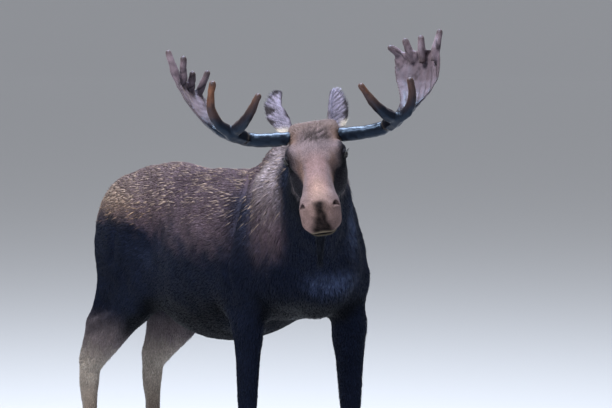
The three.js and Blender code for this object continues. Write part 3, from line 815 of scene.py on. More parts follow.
# ------------------------------------------------------------------ the skin
def coat_depth(points):
    """How deep the skin lies under the tips of the coat, in millimetres."""
    f, l, u = body_terms(points)
    depth = 9 + 4 * ramp(150, 330, f) * ramp(1350, 1600, u)
    depth = blend(depth, 3.5, leg_share(f, l, u)[0])
    on_face = np.interp(head_terms(points)[0], [100, 220, 480, 560], [6, 3, 2.6, 1.8])
    depth = blend(depth, on_face, head_share(points))
    depth = blend(depth, 1.2, ear_share(points)[0])
    return blend(depth, 5, bell_share(points))


def sink(piece):
    """Draws a skin in by the depth of its coat."""
    points = points_of(piece)
    put_points(piece, pushed(points, normals_of(piece), -coat_depth(points)))


# Strokes on the head: place, reach and push, all as forward, left, up. Each is made on
# both sides unless its place is in the middle.
HEAD_STROKES = [
    ((150, 92, -72), (34, 24, 30), (0, -6, 0)),  # temple
    ((276, 84, -98), (40, 22, 18), (2, -7, 2)),  # trough under the eye
    ((250, 98, -112), (62, 14, 12), (0, 4, 0)),  # cheek ridge
    ((374, 66, -118), (58, 22, 24), (0, -3, 0)),  # hollow beside the bridge
    ((400, 0, -40), (110, 20, 16), (0, 0, 3)),  # ridge of the nose
    ((330, 0, -52), (40, 34, 16), (0, 0, -3)),  # dip between the eyes
    ((240, 88, -30), (44, 18, 15), (2, 5, 5)),  # brow
    ((548, 62, -92), (30, 20, 30), (2, -4, 0)),  # wing of the nostril
    ((565, 62, -166), (46, 24, 26), (5, 5, 0)),  # corner of the lip
    ((586, 58, -194), (44, 24, 20), (-3, -9, 5)),  # under the corner of the lip
    ((96, 78, -14), (58, 38, 32), (-4, 5, 12)),  # corner of the crown
    ((592, 0, -176), (30, 52, 24), (8, 0, -2)),  # overhang of the lip
    ((572, 0, -72), (40, 44, 26), (3, 0, 3)),  # swell of the nose
    ((470, 58, -176), (70, 16, 20), (0, 4, -2)),  # side of the lip
    ((600, 0, -120), (24, 14, 40), (-2.5, 0, 0)),  # groove down the nose
]


def stroke(points, place, extent, push):
    found = np.stack(head_terms(points), -1)
    moved = np.zeros_like(points)
    for side in (1, -1) if place[1] else (1,):
        centre = np.array([place[0], side * place[1], place[2]])
        share = np.exp(-(((found - centre) / extent) ** 2).sum(1))
        way = own(push[0], side * push[1], push[2]) @ HEAD_AXES.T
        moved += share[:, None] * way * 0.001
    return points + moved


def eye_frame(side):
    """Centre of an eye, and its axes: outwards, along the slit, and up across it."""
    centre = at_head(EYE[0], side * EYE[1], EYE[2])
    out = towards(HEAD_AXES, 0.34, side * 0.93, 0.10)
    along = towards(HEAD_AXES, -0.93, side * 0.2, 0.22)
    along = along - out * (along @ out)
    along /= np.linalg.norm(along)
    up = np.cross(out, along)
    if up[2] < 0:
        up = -up
    return centre, out, along, up


SLIT_HALF = 16.5
SLIT_UP = 9.5
SLIT_DOWN = 8.0
# Rims and creases of the lids: height across the slit, width, and how far each stands out.
LID_CREASES = [(13.5, 2.0, 1.3), (10.8, 1.3, -1.2), (-11.5, 1.5, 0.9), (-13.8, 1.5, -1.0), (-16, 1.4, 0.8)]


def slit_edge(x, upper):
    """Height of the lid's edge over the slit's line, in millimetres along the ball."""
    arch = np.clip(1 - (x / SLIT_HALF) ** 2, 0, 1) ** 0.75
    return np.where(upper, SLIT_UP, SLIT_DOWN) * arch


def shape_lids(points):
    """Draws the skin tight over each eye, with a slit that opens on the ball."""
    for side in (1, -1):
        centre, out, along, up = eye_frame(side)
        away = (points - centre) * 1000
        reach = np.linalg.norm(away, axis=1)
        near = reach < 60
        way = away[near] / reach[near][:, None]
        z = way @ out
        x = way @ along * EYE_RADIUS
        y = way @ up * EYE_RADIUS
        open_share = ramp(1.2, -0.6, np.abs(y) - slit_edge(x, y > 0))
        lid = EYE_RADIUS + 1.8 + sum(out_by * bump(y, at, width) for at, width, out_by in LID_CREASES)
        target = lid + (EYE_RADIUS - 5.5 - lid) * open_share
        hold = ramp(0.02, 0.5, z)
        points[near] = pushed(centre, way, reach[near] + (target - reach[near]) * hold)
    return points


def shape_nostrils(points, normals):
    """A comma on each side: a round hole in front that trails up and back, in a raised rim."""
    f, l, u = head_terms(points)
    x = (f - NOSTRIL[0]) * 0.82 + (u - NOSTRIL[2]) * 0.57
    y = -(f - NOSTRIL[0]) * 0.57 + (u - NOSTRIL[2]) * 0.82
    bend = y + 0.018 * x * x
    for side in (1, -1):
        hole = np.exp(-((x / 20) ** 2 + (bend / 7) ** 2) ** 2) * ramp(20, 36, side * l)
        rim = np.exp(-(((np.hypot(x / 1.9, bend) - 12) / 5) ** 2)) * ramp(20, 36, side * l)
        inwards = towards(HEAD_AXES, -0.75, -side * 0.62, -0.1)
        points = points + (hole[:, None] * inwards * 10 + rim[:, None] * normals * 2.2) * 0.001
    return points


def shape_mouth(points, normals):
    """The parting of the lips, under a fold of the upper one."""
    f, l, u = head_terms(points)
    line = mouth_line(f, l)
    groove = bump(u, line, 4.5) * ramp(392, 430, f)
    fold = bump(u, line + 11, 6) * ramp(420, 470, f)
    return pushed(points, normals, -6.5 * groove + 1.2 * fold)


# Folds of the hide on the shoulder and neck: lines of forward and up, with depth and width.
FOLDS = [
    ([(118, 1640), (178, 1564), (206, 1469), (214, 1372), (202, 1300), (214, 1200)], 9, 26),
    ([(330, 1620), (350, 1560), (371, 1480), (386, 1385), (392, 1310)], 6, 20),
    ([(398, 1590), (412, 1541), (424, 1426), (430, 1302), (436, 1230)], 6, 20),
    ([(500, 1600), (502, 1500), (506, 1400), (512, 1300)], 5, 18),
    ([(-470, 1180), (-500, 1120), (-540, 1060)], 8, 30),
    ([(-640, 1350), (-660, 1240), (-700, 1140)], 5, 34),
]


def shape_folds(points, normals):
    """Folds of the hide, ribs that show a little, and a slow unevenness of the flesh."""
    f, l, u = body_terms(points)
    moved = np.zeros(len(points))
    wander = 9 * waves(points, 0.12, 5)
    for line, depth, width in FOLDS:
        top, low = line[0][1], line[-1][1]
        ends = ramp(low - 60, low + 40, u) * ramp(top + 60, top - 40, u)
        off = f - line_at(line, u) - wander
        moved -= depth * bump(off, 0, width * 0.6) * ends
        moved += depth * 0.6 * bump(off, width * 1.5, width) * ends
    flank = ramp(60, 140, np.abs(l)) * ramp(1100, 1250, u) * np.where(l > 0, 0.6, 1)
    ribs = np.sin(f / 34 + u / 90) * 1.6 * ramp(-420, -300, f) * ramp(120, 20, f)
    ribs = ribs * ramp(1120, 1220, u) * ramp(1520, 1400, u)
    moved = moved * flank + ribs + 2.0 * waves(points, 0.07, 6) * ramp(850, 1100, u)
    return pushed(points, normals, moved * (1 - head_share(points)))


def shape_legs(points, normals):
    """Tendons behind the cannons, hollows over the hocks, and the fronts of the knees."""
    f, l, u = body_terms(points)
    moved = np.zeros(len(points))
    for name, line in LEGS.items():
        off = f - line_at(line, u)
        near = ramp(120, 80, np.hypot(off, l - side_of(name) * LEG_OUT))
        moved -= 4.5 * bump(off, -16, 7) * ramp(210, 260, u) * ramp(640, 560, u) * near
        if "hind" in name:
            moved -= 5 * bump(u, 760, 40) * bump(off, -24, 16) * near
        else:
            moved += 2 * bump(u, 575, 26) * bump(off, 34, 20) * near
    return pushed(points, normals, moved)


NECK_PLANE = at_body(705, -195, 1590)
NECK_WAY = np.array(Vector(at_head(50, 0, -125) - at_body(640, -140, 1515)).normalized())


def ear_skin(name):
    """A leaf: narrow at the root, widest above the middle, with a round tip."""
    piece = casting("skin_ear", ["ear_" + name], 1.9)
    points = points_of(piece)
    _, l, u = crown_terms(points)
    off, _, wider = ear_place(l, u, side_of(name))
    put_points(piece, pushed(points, towards(CROWN_AXES, 0, 1, 0), off * wider))
    remesh(piece, "ear")
    fair(piece, 0.45, 8)
    return piece


def unite(piece, other):
    """Joins another closed mesh to a piece; tries again more carefully if it gets lost."""
    ways = {"solver": "EXACT"}, {"solver": "EXACT", "use_self": True}, {"solver": "MANIFOLD"}
    places = points_of(other)
    tip = places[np.argmax(places[:, 2])]
    for settings in ways:
        saved = piece.data.copy()
        apply_modifier(piece, "BOOLEAN", object=other, operation="UNION", **settings)
        found = points_of(piece)
        pair = edges_of(piece)
        longest = np.linalg.norm(found[pair[:, 0]] - found[pair[:, 1]], axis=1).max()
        near_tip = np.linalg.norm(found - tip, axis=1).min()
        if len(found) > len(saved.vertices) and near_tip < 0.001 and longest < 0.03:
            break
        piece.data = saved
    bpy.data.objects.remove(other)


def near_features(points):
    """Close to an eye, a nostril or the mouth."""
    found = head_terms(points)
    f, _, u = found
    mouth = (f > 400) & (np.abs(u - np.interp(f, *MOUTH)) < 9)
    return (away_from(EYE, found) < 38) | (away_from(NOSTRIL, found) < 38) | mouth


def head_skin():
    """Head, ears, bell and the top of the neck in one skin, open below and finer at the features."""
    piece = casting("skin_head", ["head", "neck", "bell", "eye_left", "eye_right"], 0.4)
    remesh(piece, "head")
    fair(piece, 0.5 * (1 - 0.3 * head_share(points_of(piece))), 22)
    f, _, u = head_terms(points_of(piece))
    settle(piece, ramp(-190, -110, f) * ramp(40, 5, f) * ramp(-230, -150, u), 90)
    for name in ("left", "right"):
        unite(piece, ear_skin(name))
    sink(piece)
    _, l, u = crown_terms(points_of(piece))
    settle(piece, bump(u, 8, 16) * ramp(45, 60, np.abs(l)) * ramp(150, 130, np.abs(l)), 8)
    cut_at(piece, NECK_PLANE + NECK_WAY * 0.006, NECK_WAY)
    refine(piece, near_features)
    refine(piece, lambda points: away_from(EYE, head_terms(points)) < 30)
    points = points_of(piece)
    for place, extent, push in HEAD_STROKES:
        points = stroke(points, place, extent, push)
    put_points(piece, points)
    points = shape_mouth(points, normals_of(piece))
    put_points(piece, points)
    points = shape_nostrils(points, normals_of(piece))
    put_points(piece, shape_lids(points))
    return piece


def body_skin():
    """Trunk, tail and legs in one skin, open at the neck."""
    piece = casting("skin", ["trunk", "neck", "tail"] + LEG_NODES, 0.5)
    remesh(piece, "body")
    f, l, u = body_terms(points_of(piece))
    leg, _ = leg_share(f, l, u)
    tail = ramp(-870, -890, f) * ramp(1270, 1290, u)
    fair(piece, 0.5 * np.clip(1 - leg, 0.10, 1) * (1 - 0.8 * tail), 36)
    sink(piece)
    cut_at(piece, NECK_PLANE - NECK_WAY * 0.006, -NECK_WAY)
    for shape in (shape_folds, shape_legs):
        put_points(piece, shape(points_of(piece), normals_of(piece)))
    return piece


def whole_skin():
    """The skins of body and head, bridged across the neck."""
    body = body_skin()
    head = head_skin()
    activate(body)
    head.select_set(True)
    bpy.ops.object.join()
    bpy.ops.object.mode_set(mode="EDIT")
    bpy.ops.mesh.select_mode(type="EDGE")
    bpy.ops.mesh.select_all(action="DESELECT")
    bpy.ops.mesh.select_non_manifold(extend=False)
    bpy.ops.mesh.bridge_edge_loops()
    bpy.ops.mesh.select_mode(type="VERT")
    bpy.ops.object.mode_set(mode="OBJECT")
    edit_whole(body, bpy.ops.mesh.normals_make_consistent, inside=False)
    seam = np.abs((points_of(body) - NECK_PLANE) @ NECK_WAY)
    settle(body, ramp(0.05, 0.01, seam), 12)
    return body


# ------------------------------------------------------------------ the coat
def unwrap(piece):
    piece.data.uv_layers.new(name="OFBake")
    edit_whole(piece, bpy.ops.uv.smart_project, angle_limit=1.15, island_margin=0.001)


def sown(piece, thickness_of_growth):
    """Evenly strewn roots over a mesh: their places, normals and places on its unwrap."""
    mesh = piece.data
    mesh.calc_loop_triangles()
    corners = read(mesh.loop_triangles, "vertices", 3, np.int32)
    loops = read(mesh.loop_triangles, "loops", 3, np.int32)
    uv = read(mesh.uv_layers["OFBake"].data, "uv", 2)
    points = points_of(piece)
    normals = normals_of(piece)
    a, b, c = (points[corners[:, k]] for k in range(3))
    area = np.linalg.norm(np.cross(b - a, c - a), axis=1) / 2 * 1e6
    grown = np.cumsum(area * thickness_of_growth((a + b + c) / 3, normals[corners[:, 0]]))
    total = int(grown[-1])
    chosen = np.searchsorted(grown, (np.arange(total) + random.random(total)) * grown[-1] / total)
    chosen = np.minimum(chosen, len(corners) - 1)
    s, t = random.random(total), random.random(total)
    flip = s + t > 1
    s, t = np.where(flip, 1 - s, s), np.where(flip, 1 - t, t)
    weights = np.stack([1 - s - t, s, t], 1)[..., None]
    place = (points[corners[chosen]] * weights).sum(1)
    normal = (normals[corners[chosen]] * weights).sum(1)
    normal /= np.linalg.norm(normal, axis=1, keepdims=True)
    spot = (uv[loops[chosen]] * weights).sum(1)
    return place, normal, spot


TUFT_FACES = np.array([(1, 2, 0), (2, 3, 0), (3, 1, 0), (1, 4, 2), (2, 4, 3), (3, 4, 1)])
TUFT_PATCH = np.array([(0, -1), (-1, 0.1), (1, 0.1), (0, 0.1), (0, 1)]) * 0.0015


def tufts(title, roots, lie, sizes, tones, hair):
    """One piece of closed tufts: each a root, a ring of three and a tip, lying along the body."""
    place, normal, spot = roots
    length, width, lift = sizes
    count = len(place)
    length = np.broadcast_to(length, count)[:, None] * 0.001
    width = np.broadcast_to(width, count)[:, None] * 0.001
    rise = np.tan(np.broadcast_to(lift, count))[:, None]
    side = np.cross(lie, normal)
    middle = place + (lie + normal * rise) * length * 0.42
    points = np.empty((count, 5, 3))
    points[:, 0] = place - normal * 0.0012
    points[:, 1] = middle - side * width * 0.5
    points[:, 2] = middle + side * width * 0.5
    points[:, 3] = middle + normal * width * 0.22
    points[:, 4] = place + (lie + normal * rise * 0.62) * length
    mesh = bpy.data.meshes.new(title)
    mesh.vertices.add(count * 5)
    mesh.vertices.foreach_set("co", points.astype(np.float32).ravel())
    corners = (np.arange(count)[:, None, None] * 5 + TUFT_FACES[None]).ravel().astype(np.int32)
    mesh.loops.add(len(corners))
    mesh.loops.foreach_set("vertex_index", corners)
    mesh.polygons.add(count * 6)
    mesh.polygons.foreach_set("loop_start", np.arange(0, len(corners), 3, dtype=np.int32))
    mesh.update(calc_edges=True)
    patch = np.clip(spot, 0.0016, 0.9984)[:, None, :] + TUFT_PATCH[None]
    patch = patch.reshape(-1, 2)[corners].astype(np.float32)
    mesh.uv_layers.new(name="OFBake").data.foreach_set("uv", patch.ravel())
    piece = added(title, mesh)
    root, ring, tip = tones
    colour_points(piece, np.stack([root, ring, ring, ring, tip], 1).reshape(-1, 3))
    finish_piece(piece, hair)


def tail_share(f, u):
    return ramp(-905, -920, f) * ramp(1240, 1300, u)


def lie_on_body(points, normals):
    f, l, u = body_terms(points)
    steep = 0.30 + 0.18 * ramp(1500, 1250, u)
    way = towards(BODY_AXES, -1 + 0 * f, 0 * f, -steep)
    for share, forward, up in (
        (ramp(90, 230, f) * ramp(1620, 1480, u), -0.55, -0.85),  # shoulder
        (ramp(-470, -640, f) * ramp(1340, 1150, u), -0.42, -0.9),  # thigh
        (ramp(-780, -850, f), -0.1, -1),  # rear
        (ramp(-0.2, -0.7, normals[:, 2]) * ramp(1250, 1100, u), -1, -0.1),  # belly
        (leg_share(f, l, u)[0], -0.16, -1),  # leg
    ):
        way = blend(way, towards(BODY_AXES, forward, 0, up), share)
    down_neck = np.array([0, 0, -0.55]) - NECK_WAY
    way = blend(way, down_neck / np.linalg.norm(down_neck), ramp(280, 430, f))
    return blend(way, towards(BODY_AXES, -0.35, 0, -1), tail_share(f, u))


def lie_on_head(points, normals):
    f, l, _ = head_terms(points)
    cheek = ramp(60, 110, np.abs(l))
    apart = np.tanh(l / 30)
    way = towards(HEAD_AXES, -1 + 0 * f, apart * 0.25 * (1 - cheek), -0.12 - 0.3 * cheek)
    way = blend(way, towards(HEAD_AXES, -0.8, apart * 0.6, -0.3), ramp(150, 60, f))
    throat = ramp(0.1, -0.5, (normals * (HEAD_AXES @ own(0, 0, 1))).sum(1)) * ramp(480, 380, f)
    return blend(way, towards(HEAD_AXES, -0.9, 0, -0.3), throat)


def lie_of_hair(points, normals):
    """The way the hair lies at each point, along the surface."""
    way = blend(lie_on_body(points, normals), lie_on_head(points, normals), head_share(points))
    ear, side = ear_share(points)
    to_tip = towards(CROWN_AXES, -0.12, np.where(side > 0, 0.08, 0.12), 1 + 0 * side)
    hollow = ramp(0.2, 0.6, ear_facing(normals, side))
    to_tip = blend(to_tip, towards(CROWN_AXES, 0.1, 0.8 * side, 0.6 + 0 * side), 0.85 * hollow)
    way = blend(way, to_tip, ear)
    way = blend(way, np.array([0, 0, -1.0]), bell_share(points))
    ruffle = np.stack([waves(points, 0.05, k) for k in (11, 12, 13)], 1)
    way = way + 0.11 * ruffle * (1 - 0.6 * ear)[:, None]
    way = way - normals * (way * normals).sum(1, keepdims=True)
    return way / np.maximum(np.linalg.norm(way, axis=1, keepdims=True), 1e-6)


# Area for each tuft, its length and width in millimetres, and how far it lifts.
HAIR = {
    "leg": (26, 21, 2.9, 0.11),
    "shank": (20, 13, 2.1, 0.11),
    "coronet": (12.0, 29, 2.3, 0.17),
    "tail": (26.0, 46, 4.2, 0.14),
    "face": (7.6, 8.5, 1.4, 0.10),
    "nose": (5.6, 4.6, 1.0, 0.09),
    "brow": (11.0, 15, 2.0, 0.13),
    "jaw": (11.0, 13, 1.9, 0.11),
    "poll": (11.0, 19, 2.2, 0.34),
    "by_ear": (10.0, 12, 1.9, 0.10),
    "ear": (6.5, 6, 1.2, 0.10),
    "ear_hollow": (5.5, 12, 1.2, 0.13),
    "bell": (20.0, 46, 4.2, 0.16),
}
HAIR = {kind: np.array(row, float) for kind, row in HAIR.items()}


def hair_measure(points, normals):
    """Area per tuft, length, width and lift at each point."""
    f, l, u = body_terms(points)
    mane = ramp(150, 320, f) * ramp(1250, 1500, u)
    size = np.stack([30 + 0 * f, 31 + 12 * mane, 3.6 + 0.5 * mane, 0.075 + 0.04 * mane], 1)
    on_leg = between(HAIR["leg"], HAIR["shank"], ramp(760, 600, u))
    on_leg = between(on_leg, HAIR["coronet"], ramp(128, 100, u))
    size = blend(size, on_leg, leg_share(f, l, u)[0])
    size = blend(size, HAIR["tail"], tail_share(f, u))
    f, l, u = head_terms(points)
    jaw = ramp(60, 100, np.abs(l)) * ramp(-60, -110, u) * ramp(420, 300, f)
    on_face = between(HAIR["face"], HAIR["nose"], ramp(430, 560, f))
    on_face = between(on_face, HAIR["brow"], ramp(230, 90, f))
    on_face = between(on_face, HAIR["jaw"], jaw)
    on_face = between(on_face, HAIR["poll"], ramp(150, 90, f) * ramp(-60, -20, u))
    size = blend(size, on_face, head_share(points))
    f, l, u = crown_terms(points)
    by_ear = ramp(95, 55, np.hypot(np.hypot(f + 60, np.abs(l) - 92), u * 0.7))
    size = blend(size, HAIR["by_ear"], by_ear)
    ear, side = ear_share(points)
    hollow = ramp(0.0, 0.4, ear_facing(normals, side))
    size = blend(size, between(HAIR["ear"], HAIR["ear_hollow"], hollow), ear)
    size = blend(size, HAIR["bell"], bell_share(points))
    return size.T


# The coat's pieces and the slot of each.
COAT_SLOTS = {
    "head": "face",
    "ears": "ear",
    "neck": "coat",
    "shoulders": "coat",
    "ribs": "coat",
    "haunches": "coat",
    "legs_front": "leg",
    "legs_hind": "leg",
}


def region_of(points):
    f, l, u = body_terms(points)
    leg, hind = leg_share(f, l, u)
    return np.select(
        [
            ear_share(points)[0] > 0.5,
            head_share(points) > 0.5,
            (leg > 0.4) & (hind > 0.5),
            leg > 0.4,
            f > 330,
            f > 60,
            f > -420,
        ],
        ["ears", "head", "legs_hind", "legs_front", "neck", "shoulders", "ribs"],
        "haunches",
    )


def bare_places(place):
    """Where nothing grows: the eye, the nostril and the lids' edges; and how near the eye."""
    found = head_terms(place)
    ball = away_from(EYE, found)
    bare = spot_at(found, NOSTRIL, (13, 14, 11)) > 0.35
    for side in (1, -1):
        centre, _, along, up = eye_frame(side)
        away = (place - centre) / np.maximum(np.linalg.norm(place - centre, axis=1), 1e-6)[:, None]
        x, y = away @ along * EYE_RADIUS, away @ up * EYE_RADIUS
        slit = (np.abs(y) < slit_edge(x, y > 0) + 3.4) & (np.abs(x) < SLIT_HALF + 2)
        bare |= slit & (ball < 26) & (found[1] * side > 0)
    return bare, ramp(40, 25, ball)


def pale_tufts(place, calm):
    """Which tufts of the back are pale, how pale they are and how golden."""
    f, _, u = body_terms(place)
    upper = np.interp(f, [-900, -600, -300, 200], [1370, 1380, 1400, 1430])
    rear = ramp(-200, -520, f) * ramp(1560, 1480, u)
    clumps = np.clip(1 + 0.8 * waves(place, 0.09, 41), 0, 2) * np.clip(1 + waves(place, 0.022, 42), 0, 2)
    share = (0.07 + 0.11 * rear) * clumps
    share = share * ramp(-30, 120, u - upper) * ramp(560, 250, f) * calm
    pale = random.random(len(place)) < share
    mix = random.uniform(0.2, 0.75 + 0.3 * rear, len(place)) * ramp(-60, 80, u - upper)
    return pale, mix, 0.6 * ramp(1500, 1420, u) * rear


def grow_coat(hair):
    """Sows the whole skin once and makes the tufts, region by region."""
    sparse = 1
    roots = sown(skin, lambda p, n: 1 / (hair_measure(p, n)[0] * sparse))
    place, normal, _ = roots
    count = len(place)
    _, length, width, lift = hair_measure(place, normal)
    width = width * math.sqrt(sparse)
    bare, by_eye = bare_places(place)
    length = length * (1 - 0.6 * by_eye)
    width = width * (1 - 0.4 * by_eye)
    lie = lie_of_hair(place, normal)
    swing = random.normal(size=count) * 0.14
    lie = lie * np.cos(swing)[:, None] + np.cross(normal, lie) * np.sin(swing)[:, None]
    length = length * np.clip(random.normal(1, 0.2, count), 0.5, 1.6)
    width = width * np.clip(random.normal(1, 0.16, count), 0.6, 1.5)
    lift = lift + np.abs(random.normal(size=count)) * 0.04 + 0.02 * waves(place, 0.03, 21)
    ground, tips = markings(place, normal)
    calm = (1 - 0.5 * head_share(place)) * (1 - 0.7 * ear_share(place)[0])
    shade = np.exp(random.normal(size=count) * 0.13 * calm)[:, None]
    pale, mix, golden = pale_tufts(place, calm)
    streak = blend(ground * 1.1, layered(place, TAN, (GOLD, golden)), mix)
    tips = np.where(pale[:, None], streak, tips)
    ground = np.where(pale[:, None], streak * 0.75, ground)
    sizes = (
        length * np.where(pale, 1.45, 1),
        width * np.where(pale, 1.15, 1),
        lift + np.where(pale, 0.02, 0),
    )
    tones = (ground * 0.72 * shade, ground * shade, tips * shade)
    region = region_of(place)
    for name, slot in COAT_SLOTS.items():
        members = np.flatnonzero((region == name) & ~bare)
        members = members[np.argsort(-place[members, 1], kind="stable")]
        parts = max(1, math.ceil(len(members) / TUFTS_IN_A_PIECE))
        for part, some in enumerate(np.array_split(members, parts)):
            title = f"coat_{name}_{part + 1}" if parts > 1 else f"coat_{name}"
            these = [[field[some] for field in fields] for fields in (roots, sizes, tones)]
            tufts(title, these[0], lie[some], these[1], these[2], hair)


skin = whole_skin()
unwrap(skin)
skin_ground, _ = markings(points_of(skin), normals_of(skin))
colour_points(skin, skin_ground * 0.72)
finish_piece(skin, skin_material(), SKIN_NODES)
hair = coat_material()
grow_coat(hair)


# ------------------------------------------------------------------ eyes, lids and lashes
def ring_of_lid(side, reach):
    """Places round the slit of an eye, in order, at a distance from the ball's middle."""
    centre, out, along, up = eye_frame(side)
    turn_of = np.linspace(0, 2 * math.pi, 72, endpoint=False)
    x = SLIT_HALF * np.cos(turn_of)
    y = np.where(np.sin(turn_of) >= 0, 1, -1) * slit_edge(x, np.sin(turn_of) >= 0)
    z = np.sqrt(1 - (x * x + y * y) / EYE_RADIUS**2)
    way = z[:, None] * out + (x[:, None] * along + y[:, None] * up) / EYE_RADIUS
    return centre + way * reach * 0.001, way, x, y


def tube(title, line, thickness, finish):
    """A closed tube round a closed line."""
    ahead = np.roll(line, -1, 0) - np.roll(line, 1, 0)
    ahead /= np.linalg.norm(ahead, axis=1, keepdims=True)
    across = np.cross(ahead, line - line.mean(0))
    across /= np.linalg.norm(across, axis=1, keepdims=True)
    other = np.cross(ahead, across)
    rings = []
    for a in np.linspace(0, 2 * math.pi, 10, endpoint=False):
        rings.append(pushed(line, across * math.cos(a) + other * math.sin(a), thickness))
    piece = from_faces(title, np.stack(rings, 1).reshape(-1, 3), net(len(line), 10, closed=True))
    edit_whole(piece, bpy.ops.mesh.normals_make_consistent, inside=False)
    finish_piece(piece, finish)


def eyeball(name, side, wet):
    """A wet ball with its cornea standing out, a wide pupil and a dark brown iris."""
    centre, out, along, up = eye_frame(side)
    deselect()
    bpy.ops.mesh.primitive_uv_sphere_add(segments=56, ring_count=36, radius=1)
    piece = bpy.context.active_object
    piece.name = "eyeball_" + name
    local = points_of(piece)
    x, y, z = local.T
    ways = x[:, None] * along + y[:, None] * up + z[:, None] * out
    put_points(piece, pushed(centre, ways, 19.3 + 1.3 * ramp(0.80, 0.93, z)))
    away = np.hypot(x * EYE_RADIUS / 1.25, y * EYE_RADIUS)
    pupil = ramp(4.6, 3.6, np.hypot(x * EYE_RADIUS / 1.9, y * EYE_RADIUS))
    dark = np.maximum(pupil, bump(away, 10.6, 1.2))
    colours = layered(local, EYEBALL, (IRIS, ramp(10.8, 9.6, away)), (PUPIL, dark))
    colour_points(piece, colours, "iris")
    if (np.cross(along, up) @ out) < 0:
        edit_whole(piece, bpy.ops.mesh.flip_normals)
    finish_piece(piece, wet, ["eye_" + name])


def lashes(name, side, hair):
    """A fan of stiff hairs along the upper lid."""
    line, way, x, y = ring_of_lid(side, EYE_RADIUS + 2.2)
    _, _, along, up = eye_frame(side)
    upper = np.flatnonzero((y > 2) & (np.abs(x) < SLIT_HALF * 0.93))
    spread = np.interp(np.linspace(0, len(upper) - 1, LASHES), np.arange(len(upper)), upper)
    low = np.floor(spread).astype(int)
    roots = between(line[low], line[np.minimum(low + 1, len(line) - 1)], spread - low)
    outward = way[low]
    fan = (x[low] / SLIT_HALF)[:, None]
    lie = outward * 0.9 + along * fan * 0.35 - up * 0.25 + random.normal(size=(LASHES, 3)) * 0.06
    lie /= np.linalg.norm(lie, axis=1, keepdims=True)
    lift_way = up - lie * (lie @ up)[:, None]
    lift_way /= np.linalg.norm(lift_way, axis=1, keepdims=True)
    black = np.tile(INK * 0.6, (LASHES, 1))
    spot = np.full((LASHES, 2), 0.5)
    sizes = (random.uniform(10, 15, LASHES), 0.9, -0.12)
    tufts("lashes_" + name, (roots, lift_way, spot), lie, sizes, (black, black, black), hair)


wet = eye_material()
lid = lid_material()
for name in ("left", "right"):
    side = side_of(name)
    eyeball(name, side, wet)
    line, _, x, _ = ring_of_lid(side, EYE_RADIUS + 1.0)
    tube("lid_edge_" + name, line, 1.5 - 0.5 * (np.abs(x) / SLIT_HALF) ** 3, lid)
    lashes(name, side, hair)


# ------------------------------------------------------------------ antlers in velvet
FORK_UP = {1: 30, -1: 58}  # how high above the crown each beam ends and the velvet turns plush


def palm_veins(points, out):
    """Ridges that fan out over a palm, and the veins between them."""
    palm = points[out > 330]
    middle = palm.mean(0)
    _, _, axes = np.linalg.svd(palm[::25] - middle, full_matrices=False)
    ahead = (points - middle) @ axes[0] * np.sign(axes[0][2]) * 1000 + 420
    fan = np.arctan2((points - middle) @ axes[1] * 1000, ahead)
    ridge = np.sin(fan * 88 + 2.2 * waves(points, 0.16, 31)) * ramp(260, 330, out)
    off = np.abs((points - middle) @ axes[2]) * 1000
    ridge = ridge * ramp(110, 60, off) * ramp(170, 290, ahead)
    return ridge, ramp(0.80, 1.0, -ridge) * ramp(0.5, -0.2, waves(points, 0.09, 36))


def velvet_colours(points, f, out, rise, thin, ridge, vein):
    """Blue-black beams, brown tines with rusty tips, and warm grey palms."""
    brow = ramp(28, 60, f) * ramp(412, 398, out)
    plush = np.maximum(ramp(6, 96, rise) * ramp(230, 330, out), ramp(20, 90, rise) * brow)
    mottle = ramp(-0.2, 0.8, waves(points, 0.03, 37)) * ramp(-0.5, 0.6, waves(points, 0.009, 38))
    slender = plush * ramp(40, 90, rise)
    velvety = layered(
        points,
        PALM * 0.85,
        (PALM * 1.55, ramp(120, 300, rise)),
        (TINE, brow),
        (TIP * 0.9, 0.75 * brow * ramp(70, 150, rise)),
    )
    colours = layered(
        points,
        BEAM,
        (velvety, plush),
        (RIDGE, 0.75 * vein),
        (RIDGE * 1.4, 0.5 * mottle * plush),
        (SLENDER, 0.75 * ramp(2, 6, thin) * slender),
        (TIP, 0.85 * ramp(7, 16, thin) * slender),
    )
    return np.clip(colours * (1 + 0.06 * ridge + 0.12 * waves(points, 0.02, 35))[:, None], 0.003, 1)


def antler(name, velvet):
    """One antler, its tines thickened by the velvet."""
    side = side_of(name)
    nodes = [f"antler_{name}_palm", f"antler_{name}_brow"]
    piece = casting("antler_" + name, nodes, 2.9)
    remesh(piece, "antler")
    before = points_of(piece)
    edges = edges_of(piece)
    thin = np.linalg.norm(relaxed(before, edges, 0.5, 80) - before, axis=1) * 1000
    fair(piece, 0.5, 26)
    thin = relaxed(thin[:, None], edges, 0.5, 30)[:, 0]
    points = points_of(piece)
    f, l, u = crown_terms(points)
    ridge, vein = palm_veins(points, side * l)
    swell = 1.2 * waves(points, 0.035, 32) + 0.7 * waves(points, 0.012, 33)
    fuller = 0.3 * ridge - 1.3 * vein + swell - 1.0 + 5.6 * ramp(2, 9, thin)
    points = relaxed(pushed(points, normals_of(piece), fuller), edges, 0.5, 4)
    # the tips of the tines are blunt and full
    tip = ramp(5, 12, thin)
    points = points + 0.7 * (relaxed(points, edges, 0.5, 30) - points) * tip[:, None]
    put_points(piece, pushed(points, normals_of(piece), 2.2 * tip))
    rise = u - FORK_UP[side] + 16 * waves(points, 0.05, 34)
    colour_points(piece, velvet_colours(points, f, side * l, rise, thin, ridge, vein), "velvet")
    finish_piece(piece, velvet, nodes)


velvet = velvet_material()
for name in ("left", "right"):
    antler(name, velvet)


